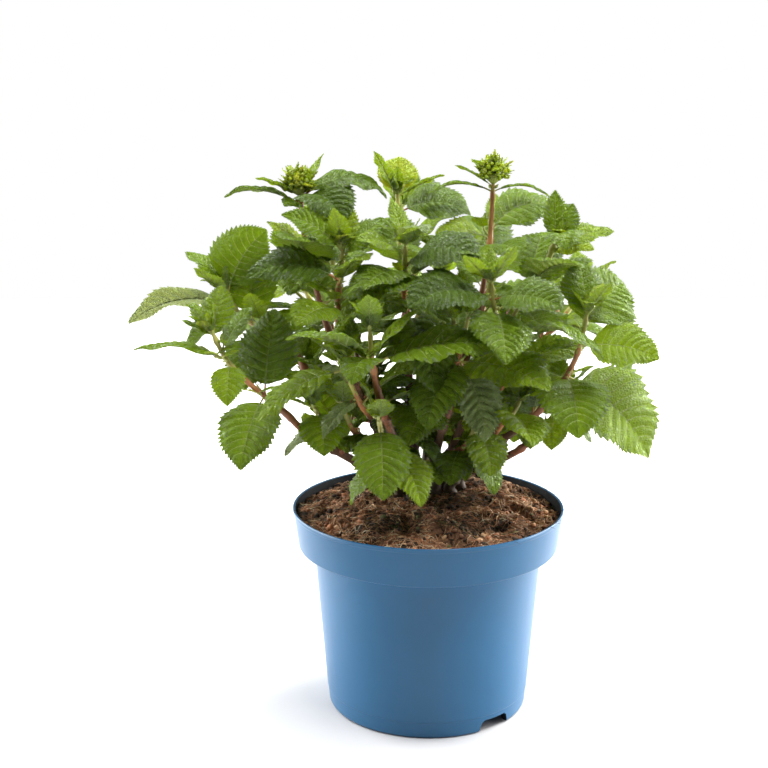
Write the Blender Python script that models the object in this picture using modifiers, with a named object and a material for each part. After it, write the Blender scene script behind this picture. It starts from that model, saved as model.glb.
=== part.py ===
"""A hydrangea shrub in its round nursery pot.

Several woody boughs rise from the middle of the soil. Each carries leafy shoots, and each shoot is one
foliage mass: a stem with pairs of opposite leaves, every pair at a right angle to the last, short side
twigs in the leaf axils, and a bud on top. Metres, +Z up, +Y to the back, origin under the middle of the pot.
"""

import math
import random

import bmesh
import bpy
from mathutils import Vector
from mathutils.bvhtree import BVHTree

CM = 0.01
CLEAR = 0.0003
MERGE = 0.00005
WELD = 0.00002

# ---------------------------------------------------------------------------------------------------------
# Driving dimensions of the pot and its soil

POT_HEIGHT = 0.159
RIM_RADIUS = 0.105
COLLAR_FOOT_RADIUS = 0.1005
COLLAR_HEIGHT = 0.031
WALL_TOP_RADIUS = 0.0885
BASE_RADIUS = 0.078
BASE_ROUNDING = 0.004
WALL = 0.002
FOOT_RING_WIDTH = 0.006
FOOT_CHANNEL_HEIGHT = 0.010
FOOT_DISC_RADIUS = 0.055
RIM_EASE = 0.0004
LIP_DEPTH = 0.003
COLLAR_CHAMFER = 0.0018
FLOOR_CHAMFER = 0.004
POT_SIDES = 36
NOTCH_WIDTH = 0.030
NOTCH_HEIGHT = 0.009
NOTCH_DEPTH = 0.030
NOTCH_HEADINGS = (-50.0, 130.0)

SOIL_EDGE = POT_HEIGHT - 0.005
SOIL_CROWN = POT_HEIGHT + 0.006
SOIL_FLAT_RADIUS = 0.046
SOIL_BUMP = 0.0018
LARGE_LUMP = 0.058
SMALL_LUMP = 0.030
SOIL_EDGE_DROP = 0.001
SOIL_CHAMFER = 0.005
SOIL_RINGS = (0.060, 0.074, 0.086)
SOIL_SIDES = 28
PLUG_PLAY = 0.0015

# ---------------------------------------------------------------------------------------------------------
# Driving dimensions of the plant

CROWN_CENTRE = Vector((-0.034, 0.018, 0.290))
CROWN_REACH = Vector((0.208, 0.185, 0.142))
UNDERSIDE = 0.184
UNDERSIDE_RADIUS = 0.050
UNDERSIDE_SLOPE = 0.60

BOUGH_FOOT_RADIUS = 0.0034
BOUGH_TIP_RADIUS = 0.0026
ROOT_FLARE = 1.40
SHOOT_FOOT_RADIUS = 0.0024
SHOOT_TIP_RADIUS = 0.0015
TWIG_FOOT_RADIUS = 0.0015
TWIG_TIP_RADIUS = 0.0013
TWIG_RADII = (TWIG_FOOT_RADIUS, TWIG_FOOT_RADIUS, TWIG_TIP_RADIUS)
PETIOLE_RADIUS = 0.0011
BUD_RADIUS = 0.0032
BUD_LENGTH = 0.012
BUD_SINK = 0.002
FLOWER_BUD_RADIUS = 0.011
FLOWER_BUD_LENGTH = 0.021
BOUGH_POINTS = 6
SHOOT_POINTS = 5
TWIG_START = 0.012
TWIG_RADIUS = 0.002
TWIG_REACH = (0.024, 0.036)
TWIG_LEAF_LENGTH = 0.076
TWIG_LEAF_SINK = 0.0025
TOP_NODE = 0.985
LOW_NODE = 0.24
SHORT_LOW_NODE = 0.42
STRAIGHT_FOOT = 0.008
STRAIGHT_START = 0.005
LIMB_REACH = 0.36
BOUGH_LEAN = 0.5
BOUGH_LIFT = 0.35
SHOOT_LEAN = 0.5
SHOOT_LIFT = 0.8
TWIG_LEAN = 1.3
TWIG_LIFT = 0.5

LEAF_LENGTH = 0.080
LEAF_WIDTH = 0.82
LEAF_THICKNESS = 0.016
LEAF_FOLD = math.radians(14)
BLADE_LEAN = 0.80
BLADE_ROUNDNESS = 0.60
BLADE_TAPER = 0.30
DROOP_CURVE = 1.2
ROLL_START = 3
CENTRE_STEPS = 12
FOOT_DEPTH = 1.15
DEPTH_LOSS = 0.5
PETIOLE_SHARE = 0.15
OUTER_RINGS = (0.0, 0.18, 0.60)
RULE_RINGS = (0.34,)
LEAF_GAP = 0.0008
LEAF_OFF_SOIL = 0.002
SHORT_SHOOT_LEAF = 0.82
LONG_SHOOT = 0.11
LONGEST_START = 0.012
LEAST_SLANT = 0.1

# Each rank of leaves, from the top pair down: its length, its angle from the stem, its droop and its width.
RANKS = (
    (0.44, 28.0, 15.0, 0.56),
    (0.82, 46.0, 55.0, 0.70),
    (1.00, 62.0, 70.0, 0.78),
    (1.02, 74.0, 80.0, 0.82),
)
# How far a pair's leaves may differ from their rank's values, as shares and as degrees
SIZE_SPREAD = (0.90, 1.08)
DROOP_SPREAD = (0.7, 1.3)
AIM_SPREAD = 8
ROLL_SPREAD = 14

# A leaf that is blocked is tried again, aimed a little aside (degrees across and up), then a little smaller.
NEAR_AIMS = [(0, 0), (5, 0), (-5, 0), (0, 5), (0, -5), (8, 5), (-8, 5), (8, -5), (-8, -5), (0, 9), (0, -9)]
WIDE_AIMS = [(14, 0), (-14, 0), (0, 14), (0, -14), (24, 10), (-24, 10), (18, -16), (-18, -16)]
FAR_AIMS = [(36, 0), (-36, 0), (0, 28), (0, -30)]
AIMS = NEAR_AIMS + WIDE_AIMS + FAR_AIMS
SIZES = (1.0, 0.86)

OWN = " own"
UP = Vector((0, 0, 1))
HALF_TURN = math.pi
QUARTER_TURN = math.pi / 2

SEED = 11

# Boughs: where the foot stands on the soil, and the tip, both in centimetres.
BOUGHS = {
    "bough_left": ((-3.2, 1.2), (-10.6, -2.4, 23.6)),
    "bough_left_back": ((-2.9, 2.7), (-10.0, 4.6, 26.2)),
    "bough_top_left": ((-2.0, 2.1), (-7.6, 1.0, 29.5)),
    "bough_mid_left": ((-2.3, 0.4), (-6.6, -3.4, 29.5)),
    "bough_front_left": ((-1.3, -0.4), (-3.9, -7.0, 26.8)),
    "bough_centre": ((-0.8, 1.8), (-1.8, -0.6, 29.5)),
    "bough_front": ((-0.2, 0.2), (2.0, -3.8, 27.2)),
    "bough_front_right": ((0.7, 1.0), (4.7, -3.0, 28.4)),
    "bough_top_right": ((0.2, 2.8), (3.8, 2.2, 30.5)),
    "bough_right_top": ((1.4, 2.5), (6.0, 0.4, 30.5)),
    "bough_right": ((1.9, 1.2), (9.4, -2.8, 25.6)),
    "bough_right_low": ((2.7, 2.6), (8.2, 0.4, 21.2)),
    "bough_right_back": ((1.4, 3.8), (8.0, 6.0, 26.0)),
    "bough_back": ((-0.2, 4.0), (1.2, 9.4, 26.0)),
    "bough_back_left": ((-1.6, 3.7), (-6.6, 9.2, 26.0)),
}

# Shoots: the bough, how far along it the shoot starts (1 is its tip), the shoot's tip in centimetres,
# its pairs of leaves, and the heading of its top pair in degrees, 0 to the right and 90 to the back.
SHOOTS = {
    "foliage_left_low": ("bough_left", 1.0, (-16.0, -3.0, 30.0), 1, 178),
    "foliage_left": ("bough_left_back", 1.0, (-15.8, 5.0, 31.6), 3, 5),
    "foliage_bud_left": ("bough_top_left", 1.0, (-9.7, 1.0, 39.8), 2, 100),
    "foliage_mid_left": ("bough_mid_left", 1.0, (-6.4, -3.0, 36.2), 2, 150),
    "foliage_front_left": ("bough_front_left", 1.0, (-4.4, -8.2, 31.2), 2, 5),
    "foliage_centre": ("bough_centre", 1.0, (-1.9, -4.0, 36.6), 3, 20),
    "foliage_centre_top": ("bough_centre", 0.72, (-2.4, 3.6, 39.6), 3, 90),
    "foliage_front": ("bough_front", 1.0, (1.6, -5.4, 31.4), 3, 150),
    "foliage_front_right": ("bough_front_right", 1.0, (4.1, -7.0, 34.4), 3, 95),
    "foliage_bud_right": ("bough_top_right", 1.0, (4.8, 2.0, 40.6), 2, 100),
    "foliage_right_top": ("bough_right_top", 1.0, (9.4, 0.2, 36.4), 2, 80),
    "foliage_right": ("bough_right", 1.0, (11.4, -3.2, 31.4), 1, 20),
    "foliage_right_low": ("bough_right_low", 1.0, (10.2, 0.2, 24.6), 3, 60),
    "foliage_left_front": ("bough_mid_left", 0.56, (-6.2, -6.0, 28.4), 2, 60),
    "foliage_left_foot": ("bough_left", 0.52, (-8.6, -3.0, 24.4), 2, 100),
    "foliage_front_foot": ("bough_front_left", 0.42, (-3.8, -7.4, 24.6), 2, 20),
    "foliage_centre_foot": ("bough_front", 0.34, (3.6, -2.4, 23.2), 2, 60),
    "foliage_mid_foot": ("bough_mid_left", 0.40, (-6.5, -3.0, 24.6), 2, 30),
    "foliage_right_foot": ("bough_right", 0.52, (6.6, -3.4, 25.0), 3, 30),
    "foliage_centre_low": ("bough_centre", 0.40, (0.6, -2.4, 25.4), 3, 60),
    "foliage_inner_right": ("bough_right_top", 0.56, (6.6, -1.4, 28.4), 3, 40),
    "foliage_inner_left": ("bough_top_left", 0.54, (-6.8, -0.4, 27.4), 3, 120),
    "foliage_right_back": ("bough_right_back", 1.0, (12.6, 8.4, 32.0), 4, 40),
    "foliage_back_right": ("bough_right_back", 0.74, (5.8, 9.6, 36.0), 4, 20),
    "foliage_back_right_foot": ("bough_right_back", 0.50, (10.0, 5.6, 24.4), 3, 100),
    "foliage_back": ("bough_back", 1.0, (1.8, 14.0, 31.8), 4, 70),
    "foliage_back_top": ("bough_back", 0.72, (-2.0, 8.4, 38.0), 4, 140),
    "foliage_back_foot": ("bough_back", 0.50, (3.4, 12.0, 24.2), 3, 20),
    "foliage_back_left": ("bough_back_left", 1.0, (-10.6, 12.6, 32.4), 4, 120),
    "foliage_top_left_back": ("bough_back_left", 0.76, (-8.0, 6.4, 36.6), 4, 50),
    "foliage_left_back_foot": ("bough_back_left", 0.52, (-9.4, 9.0, 24.8), 3, 60),
}
FLOWER_SHOOTS = ("foliage_bud_left", "foliage_bud_right")

# Leaves that give the crown its outline: the share along the shoot, the leaf's tip in centimetres, how far
# it bends down and how far it rolls to the right of its heading, in degrees, and its width to its length.
OUTER_LEAVES = {
    "foliage_left_low": (
        (0.74, (-21.9, -3.0, 28.7), 45, 5, 0.52),
        (0.70, (-14.8, -5.5, 25.1), 70, 0, 0.75),
        (0.99, (-15.4, -1.6, 33.4), 10, 0, 0.85),
        (0.97, (-18.3, -3.2, 31.0), 20, 0, 0.60),
        (0.80, (-13.2, -1.0, 31.6), 40, 0, 0.60),
        (0.28, (-13.8, -7.0, 20.7), 45, 0, 0.84),
        (0.28, (-11.6, -0.4, 31.4), 20, 0, 0.80),
    ),
    "foliage_left": (
        (0.90, (-23.6, 5.0, 29.2), 60, 30, 0.62),
        (0.99, (-12.6, 5.8, 36.6), 40, 62, 0.95),
        (0.92, (-19.3, 7.4, 34.6), 55, 0, 0.55),
    ),
    "foliage_bud_left": (
        (0.93, (-15.4, 1.0, 39.6), 60, 8, 0.42),
        (0.93, (-6.6, -2.4, 37.9), 120, 10, 0.95),
        (0.97, (-3.2, 2.2, 38.8), 95, 15, 0.62),
        (0.93, (-11.0, -0.6, 38.9), 60, -30, 0.85),
        (0.60, (-12.0, 1.6, 38.0), 20, -30, 0.60),
        (0.60, (-5.6, -0.2, 34.6), 50, 10, 0.70),
        (0.20, (-2.1, -5.5, 31.6), 40, 25, 0.85),
    ),
    "foliage_mid_left": (
        (0.97, (-10.8, -3.8, 38.8), 45, -40, 0.60),
        (0.99, (-6.2, -1.2, 39.4), 15, 0, 0.62),
        (0.90, (-3.4, -2.0, 38.0), 50, 30, 0.80),
        (0.62, (-4.4, -6.6, 36.0), 70, 10, 0.65),
        (0.66, (-13.3, -4.4, 34.2), 75, -30, 0.62),
        (0.36, (-9.6, -7.6, 31.4), 50, -20, 0.80),
    ),
    "foliage_front_left": (
        (0.45, (4.9, -10.0, 30.3), 40, 14, 0.62),
        (0.45, (-5.6, -11.2, 28.0), 110, 0, 0.85),
    ),
    "foliage_centre": (
        (0.99, (-0.4, -6.4, 37.8), 110, 0, 0.75),
        (0.90, (-5.4, -5.6, 37.2), 50, -20, 0.70),
        (0.78, (3.2, -6.4, 35.8), 90, 25, 0.85),
        (0.66, (-4.4, -8.2, 34.0), 60, -10, 0.75),
    ),
    "foliage_centre_top": (
        (0.99, (-2.3, 5.4, 42.3), 25, 0, 1.05),
        (0.90, (3.3, 4.0, 37.9), 70, 32, 0.95),
    ),
    "foliage_front": (
        (0.20, (8.2, -8.8, 27.0), 40, 15, 0.85),
        (0.20, (3.8, -7.4, 22.9), 60, 0, 0.62),
        (0.70, (-1.8, -7.0, 29.6), 40, -20, 0.70),
    ),
    "foliage_front_right": (
        (0.80, (-1.8, -9.8, 33.1), 60, -20, 0.80),
        (0.80, (8.9, -9.2, 32.9), 50, 25, 0.85),
        (0.62, (9.3, -5.2, 33.2), 60, 15, 0.55),
        (0.97, (3.8, -6.2, 37.0), 20, 0, 0.60),
    ),
    "foliage_bud_right": (
        (0.93, (-0.4, 2.0, 39.4), 75, 0, 0.30),
        (0.97, (1.9, 3.0, 41.8), 20, 20, 0.35),
        (0.93, (9.1, 2.0, 39.4), 75, 0, 0.30),
        (0.58, (0.4, 1.0, 36.8), 45, -35, 0.75),
        (0.62, (10.0, 3.4, 38.2), 100, 30, 0.80),
    ),
    "foliage_right_top": (
        (0.92, (13.8, 1.0, 37.4), 40, 25, 0.60),
        (0.99, (10.8, 1.4, 39.1), 20, 20, 0.90),
        (0.96, (9.8, -3.2, 36.5), 115, 0, 0.95),
        (0.86, (11.9, -1.8, 36.0), 40, 15, 0.70),
        (0.40, (12.6, 2.4, 34.6), 40, 10, 0.55),
        (0.30, (9.9, -1.4, 32.8), 40, 0, 0.50),
    ),
    "foliage_right": (
        (0.99, (11.0, -1.4, 35.2), 25, 10, 1.00),
        (0.80, (15.3, 1.4, 33.0), 50, 45, 0.95),
        (0.62, (16.5, -5.2, 29.0), 40, 35, 0.85),
        (0.62, (8.0, -1.8, 28.4), 40, -20, 0.60),
        (0.22, (10.4, -8.2, 23.4), 70, 0, 0.92),
        (0.22, (16.3, -3.6, 20.6), 45, 42, 0.90),
    ),
    "foliage_right_low": (
        (0.60, (9.3, -1.6, 20.7), 60, 0, 0.85),
        (0.50, (12.4, -0.8, 20.8), 60, 10, 0.90),
    ),
    "foliage_left_front": (
        (0.92, (-12.5, -8.2, 24.4), 50, -10, 0.52),
        (0.50, (-7.8, -7.2, 23.0), 60, 0, 0.50),
    ),
    "foliage_left_foot": (
        (0.60, (-10.8, -4.0, 20.9), 50, 0, 0.45),
        (0.90, (-7.8, -5.4, 21.3), 90, 0, 0.95),
    ),
    "foliage_front_foot": (
        (0.92, (-3.5, -10.4, 19.5), 70, 0, 0.78),
        (0.55, (-0.8, -9.4, 18.7), 70, 0, 0.70),
        (0.30, (-5.9, -5.8, 17.7), 60, 0, 0.80),
    ),
    "foliage_centre_foot": (
        (0.86, (4.5, -4.2, 19.4), 80, 0, 0.95),
        (0.62, (6.2, -2.6, 18.4), 60, 0, 0.90),
        (0.97, (2.6, -4.6, 23.0), 50, 0, 0.65),
        (0.40, (1.5, -4.2, 18.7), 80, 0, 0.95),
    ),
}


# ---------------------------------------------------------------------------------------------------------
# Materials


def material(name, colour, roughness):
    made = bpy.data.materials.new(name)
    made.use_nodes = True
    shader = made.node_tree.nodes["Principled BSDF"]
    shader.inputs["Base Color"].default_value = (*colour, 1.0)
    shader.inputs["Roughness"].default_value = roughness
    shader.inputs["Metallic"].default_value = 0.0
    return made


def make_materials():
    return {
        "pot": material("blue plastic", (0.10, 0.30, 0.60), 0.45),
        "soil": material("peat", (0.13, 0.06, 0.03), 0.95),
        "bark": material("red brown bark", (0.23, 0.09, 0.05), 0.7),
        "leaf": material("green leaf", (0.08, 0.22, 0.03), 0.4),
    }


# ---------------------------------------------------------------------------------------------------------
# Object helpers


def clear_scene():
    for obj in list(bpy.data.objects):
        bpy.data.objects.remove(obj)


def new_collection(name):
    made = bpy.data.collections.new(name)
    bpy.context.scene.collection.children.link(made)
    return made


def mesh_object(name, mesh, collection):
    obj = bpy.data.objects.new(name, mesh)
    collection.objects.link(obj)
    return obj


def object_from_bmesh(name, form, collection):
    bmesh.ops.recalc_face_normals(form, faces=form.faces)
    mesh = bpy.data.meshes.new(name)
    form.to_mesh(mesh)
    form.free()
    return mesh_object(name, mesh, collection)


def shade(obj, angle=40):
    obj.data.shade_smooth()
    obj.data.set_sharp_from_angle(angle=math.radians(angle))


def apply_modifiers(obj):
    graph = bpy.context.evaluated_depsgraph_get()
    mesh = bpy.data.meshes.new_from_object(obj.evaluated_get(graph))
    obj.modifiers.clear()
    obj.data = mesh


def turned(name, profile, sides, collection):
    """A solid of revolution. The profile runs down the outside and ends where it began, or on the axis."""
    form = bmesh.new()
    points = [form.verts.new((radius, 0.0, height)) for radius, height in profile]
    for first, second in zip(points, points[1:]):
        form.edges.new((first, second))
    if profile[0][0] > 0:
        form.edges.new((points[-1], points[0]))
    mesh = bpy.data.meshes.new(name)
    form.to_mesh(mesh)
    form.free()
    obj = mesh_object(name, mesh, collection)
    screw = obj.modifiers.new("turn", "SCREW")
    screw.steps = sides
    screw.render_steps = sides
    screw.use_merge_vertices = True
    screw.merge_threshold = MERGE
    screw.use_smooth_shade = True
    apply_modifiers(obj)
    return obj


def tube(name, points, radii, resolution, collection):
    """A tapering tube along the points, as a mesh with welded caps. It has 4 + 2 * resolution sides."""
    curve = bpy.data.curves.new(name, "CURVE")
    curve.dimensions = "3D"
    curve.bevel_depth = 1.0
    curve.bevel_resolution = resolution
    curve.use_fill_caps = True
    spline = curve.splines.new("POLY")
    spline.points.add(len(points) - 1)
    for place, position, radius in zip(spline.points, points, radii):
        place.co = (*position, 1.0)
        place.radius = radius
    guide = bpy.data.objects.new(name, curve)
    collection.objects.link(guide)
    graph = bpy.context.evaluated_depsgraph_get()
    mesh = bpy.data.meshes.new_from_object(guide.evaluated_get(graph))
    bpy.data.objects.remove(guide)
    bpy.data.curves.remove(curve)
    form = bmesh.new()
    form.from_mesh(mesh)
    bmesh.ops.remove_doubles(form, verts=form.verts, dist=WELD)
    bmesh.ops.triangulate(form, faces=form.faces)
    return object_from_bmesh(name, form, collection)


# ---------------------------------------------------------------------------------------------------------
# Pot and soil


def wall_radius(height):
    """Outer radius of the tapered wall below the collar."""
    share = height / (POT_HEIGHT - COLLAR_HEIGHT)
    return BASE_RADIUS + (WALL_TOP_RADIUS - BASE_RADIUS) * share


def rounded_foot():
    """The rounded outer edge at the foot, from the wall down to the ground."""
    centre = wall_radius(BASE_ROUNDING) - BASE_ROUNDING
    steps = 2
    for step in range(1, steps + 1):
        angle = QUARTER_TURN * step / steps
        yield centre + BASE_ROUNDING * math.cos(angle), BASE_ROUNDING * (1 - math.sin(angle))


def pot_profile():
    collar_foot = POT_HEIGHT - COLLAR_HEIGHT
    floor_under = FOOT_CHANNEL_HEIGHT
    floor_top = FOOT_CHANNEL_HEIGHT + WALL
    return [
        (RIM_RADIUS - RIM_EASE, POT_HEIGHT),
        (RIM_RADIUS, POT_HEIGHT - LIP_DEPTH),
        (COLLAR_FOOT_RADIUS, collar_foot + COLLAR_CHAMFER),
        (COLLAR_FOOT_RADIUS - COLLAR_CHAMFER, collar_foot),
        (wall_radius(collar_foot), collar_foot),
        (wall_radius(BASE_ROUNDING), BASE_ROUNDING),
        *rounded_foot(),
        (BASE_RADIUS - FOOT_RING_WIDTH, 0.0),
        (BASE_RADIUS - FOOT_RING_WIDTH, floor_under),
        (FOOT_DISC_RADIUS, floor_under),
        (FOOT_DISC_RADIUS, 0.0),
        (0.0, 0.0),
    ], [
        (0.0, WALL),
        (FOOT_DISC_RADIUS - WALL, WALL),
        (FOOT_DISC_RADIUS - WALL, floor_top),
        (wall_radius(floor_top) - WALL - FLOOR_CHAMFER, floor_top),
        (wall_radius(floor_top + FLOOR_CHAMFER) - WALL, floor_top + FLOOR_CHAMFER),
        (wall_radius(collar_foot) - WALL, collar_foot),
        (COLLAR_FOOT_RADIUS - WALL - COLLAR_CHAMFER, collar_foot + WALL),
        (RIM_RADIUS - WALL, POT_HEIGHT),
    ]


def make_pot(collection, cutters, skin):
    outside, inside = pot_profile()
    # The profile closes on itself at the rim. On the axis both ends of the floor merge as they turn.
    pot = turned("pot", outside + inside, POT_SIDES, collection)
    for number, heading in enumerate(NOTCH_HEADINGS):
        form = bmesh.new()
        bmesh.ops.create_cube(form, size=1.0)
        bmesh.ops.scale(form, verts=form.verts, vec=(NOTCH_DEPTH, NOTCH_WIDTH, 2 * NOTCH_HEIGHT))
        cutter = object_from_bmesh(f"notch_cutter_{number}", form, cutters)
        turn = math.radians(heading)
        reach = BASE_RADIUS - FOOT_RING_WIDTH / 2
        cutter.location = (reach * math.cos(turn), reach * math.sin(turn), 0.0)
        cutter.rotation_euler = (0.0, 0.0, turn)
        cutter.hide_render = True
        cutter.display_type = "WIRE"
        cut = pot.modifiers.new(f"notch {number}", "BOOLEAN")
        cut.operation = "DIFFERENCE"
        cut.object = cutter
    pot.data.materials.append(skin["pot"])
    shade(pot)
    return pot


def soil_height(x, y):
    """Height of the soil's top: a low heap, level where the boughs stand, with soft lumps round it."""
    out = math.hypot(x, y)
    rim = RIM_RADIUS - WALL
    share = min(1.0, max(0.0, (out - SOIL_FLAT_RADIUS) / (rim - SOIL_FLAT_RADIUS)))
    heap = SOIL_CROWN + (SOIL_EDGE - SOIL_CROWN) * share * share * (3 - 2 * share)
    large = math.sin(math.tau * x / LARGE_LUMP) * math.cos(math.tau * y / LARGE_LUMP)
    small = math.sin(math.tau * (x + y) / SMALL_LUMP)
    return heap + SOIL_BUMP * (large + small / 2) * math.sin(math.pi * share)


def soil_side(height):
    """Radius of the soil at a height, one gap inside the pot's wall."""
    collar_foot = POT_HEIGHT - COLLAR_HEIGHT
    facet = math.cos(math.pi / POT_SIDES)
    if height <= collar_foot:
        return (wall_radius(height) - WALL) * facet - 2 * CLEAR
    share = (height - collar_foot - WALL) / (COLLAR_HEIGHT - WALL)
    low = COLLAR_FOOT_RADIUS - WALL - COLLAR_CHAMFER
    high = RIM_RADIUS - WALL
    return (low + (high - low) * max(0.0, share)) * facet - 2 * CLEAR


def make_soil(collection, skin):
    bottom = FOOT_CHANNEL_HEIGHT + WALL + CLEAR
    plug = FOOT_DISC_RADIUS - WALL - PLUG_PLAY
    collar_foot = POT_HEIGHT - COLLAR_HEIGHT
    edge = SOIL_EDGE - SOIL_EDGE_DROP
    rings = [0.0, SOIL_FLAT_RADIUS, *SOIL_RINGS, soil_side(edge) - SOIL_CHAMFER]
    profile = [(radius, SOIL_CROWN) for radius in rings] + [
        (soil_side(edge), edge),
        (soil_side(collar_foot + WALL), collar_foot + WALL),
        (soil_side(collar_foot) - CLEAR, collar_foot),
        (soil_side(bottom + SOIL_CHAMFER), bottom + SOIL_CHAMFER),
        (soil_side(bottom) - SOIL_CHAMFER, bottom),
        (plug, bottom),
        (plug, WALL + CLEAR),
        (0.0, WALL + CLEAR),
    ]
    soil = turned("soil", profile, SOIL_SIDES, collection)
    for vertex in soil.data.vertices:
        if vertex.co.z > SOIL_CROWN - CLEAR:
            vertex.co.z = soil_height(vertex.co.x, vertex.co.y)
    soil.data.materials.append(skin["soil"])
    shade(soil)
    return soil


# ---------------------------------------------------------------------------------------------------------
# The rule that grows the plant


def bezier(start, first, second, end, share):
    rest = 1 - share
    return (
        start * rest**3 + first * (3 * rest**2 * share) + second * (3 * rest * share**2) + end * share**3
    )


def arc_points(start, leaving, end, arriving, count):
    """Points on a smooth limb that leaves and arrives in the given directions."""
    reach = (end - start).length
    first = start + leaving.normalized() * reach * LIMB_REACH
    second = end - arriving.normalized() * reach * LIMB_REACH
    return [bezier(start, first, second, end, step / (count - 1)) for step in range(count)]


def along(points, share):
    """The place and direction at a share of a limb's length."""
    spans = [(b - a).length for a, b in zip(points, points[1:])]
    left = share * sum(spans)
    for a, b, span in zip(points, points[1:], spans):
        if left <= span or b is points[-1]:
            return a + (b - a) * (left / span), (b - a).normalized()
        left -= span
    return points[-1], (points[-1] - points[-2]).normalized()


def tapered(foot, tip, count):
    return [foot + (tip - foot) * step / (count - 1) for step in range(count)]


def bough_axis(name):
    (foot_x, foot_y), tip = BOUGHS[name]
    foot = Vector((foot_x * CM, foot_y * CM, SOIL_CROWN + CLEAR))
    end = Vector(tip) * CM
    outward = Vector((end.x - foot.x, end.y - foot.y, 0.0))
    leaving = outward * BOUGH_LEAN / (end.z - foot.z) + UP
    arriving = (end - foot).normalized() + UP * BOUGH_LIFT
    points = arc_points(foot, leaving, end, arriving, BOUGH_POINTS)
    # The second point stands straight above the foot, so that the cut at the soil is level.
    points[1] = Vector((foot.x, foot.y, foot.z + STRAIGHT_FOOT))
    radii = tapered(BOUGH_FOOT_RADIUS, BOUGH_TIP_RADIUS, len(points))
    radii[0] *= ROOT_FLARE
    return points, radii


def shoot_axis(name):
    """A shoot goes on from its bough's tip, or leaves the bough's side, one gap clear of it."""
    bough, share, tip, _, _ = SHOOTS[name]
    points, radii = bough_axis(bough)
    end = Vector(tip) * CM
    place, direction = along(points, share)
    if share >= 1.0:
        start = points[-1] + direction * CLEAR
        leaving = direction
    else:
        across = (end - place) - direction * (end - place).dot(direction)
        across.normalize()
        radius = radii[0] + (radii[-1] - radii[0]) * share
        start = place + across * (radius + CLEAR)
        leaving = across
    arriving = (end - start).normalized() * SHOOT_LEAN + UP * SHOOT_LIFT
    made = arc_points(start, leaving, end, arriving, SHOOT_POINTS)
    # The shoot leaves square to the limb it grows from, so that the gap is even all round.
    made[1] = start + leaving.normalized() * STRAIGHT_START
    return made, tapered(SHOOT_FOOT_RADIUS, SHOOT_TIP_RADIUS, len(made))


def leaf_width(share):
    """Half width of a blade at a share of its length, where 1 is the widest: rounded foot, drawn-out tip."""
    if share <= 0.0 or share >= 1.0:
        return 0.0
    body = math.sin(math.pi * share**BLADE_LEAN) ** BLADE_ROUNDNESS
    return body * (1.0 - BLADE_TAPER * share**3)


class Leaf:
    """One leaf: a stalk and a blade along a line that sinks from its first rise towards the tip."""

    def __init__(self, root, heading, rise, length, droop, roll=0.0, width=LEAF_WIDTH):
        self.root = root
        self.heading = heading
        self.rise = rise
        self.length = length
        self.droop = droop
        self.roll = roll
        self.width = width
        self.stalk = length * PETIOLE_SHARE
        self.rings = RULE_RINGS
        self.half_width = length * width / 2

    @classmethod
    def reaching(cls, root, tip, droop, roll, width):
        """The leaf whose tip is at a place."""
        unit = cls(Vector((0, 0, 0)), 0.0, 0.0, 1.0 / (1.0 + PETIOLE_SHARE), droop).point(1.0)
        span = tip - root
        rise = math.asin(span.z / span.length) - math.atan2(unit.z, unit.x)
        length = span.length / unit.length / (1.0 + PETIOLE_SHARE)
        leaf = cls(root, math.atan2(span.y, span.x), rise, length, droop, roll, width)
        leaf.rings = OUTER_RINGS
        return leaf

    def turned(self, heading, rise, size):
        """The same leaf, aimed a little differently."""
        leaf = Leaf(
            self.root,
            self.heading + math.radians(heading),
            self.rise + math.radians(rise),
            self.length * size,
            self.droop,
            self.roll,
            self.width,
        )
        leaf.rings = self.rings
        return leaf

    def frame(self, distance):
        """Direction, side and upper normal at a distance from the root."""
        share = max(0.0, distance) / (self.stalk + self.length)
        rise = self.rise - self.droop * share**DROOP_CURVE
        flat = Vector((math.cos(self.heading), math.sin(self.heading), 0.0))
        direction = flat * math.cos(rise) + Vector((0, 0, math.sin(rise)))
        normal = Vector((0, 0, math.cos(rise))) - flat * math.sin(rise)
        side = normal.cross(direction)
        roll = self.roll * min(1.0, share * ROLL_START)
        return (
            direction,
            side * math.cos(roll) + normal * math.sin(roll),
            normal * math.cos(roll) - side * math.sin(roll),
        )

    def point(self, distance):
        """The centre line's place, summed in short steps."""
        place = self.root.copy()
        for step in range(CENTRE_STEPS):
            middle = distance * (step + 0.5) / CENTRE_STEPS
            place += self.frame(middle)[0] * (distance / CENTRE_STEPS)
        return place

    def section(self, distance, half_width, half_depth):
        """Left edge, top, right edge and bottom. The edges of the blade stand a little above its middle."""
        _, side, normal = self.frame(distance)
        place = self.point(distance)
        lift = normal * half_width * math.tan(LEAF_FOLD)
        return [
            place - side * half_width + lift,
            place + normal * half_depth,
            place + side * half_width + lift,
            place - normal * half_depth,
        ]

    def sections(self, start, extra=0.0):
        """The leaf's outline as sections from start to just short of the tip, and the tip."""
        thick = self.length * LEAF_THICKNESS / 2
        found = [(start, PETIOLE_RADIUS + extra, PETIOLE_RADIUS + extra)]
        for share in self.rings:
            width = max(PETIOLE_RADIUS, self.half_width * leaf_width(share))
            depth = thick * (FOOT_DEPTH - DEPTH_LOSS * share)
            found.append((self.stalk + self.length * share, width + extra, depth + extra))
        return [self.section(*values) for values in found], self.point(self.stalk + self.length)


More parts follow.
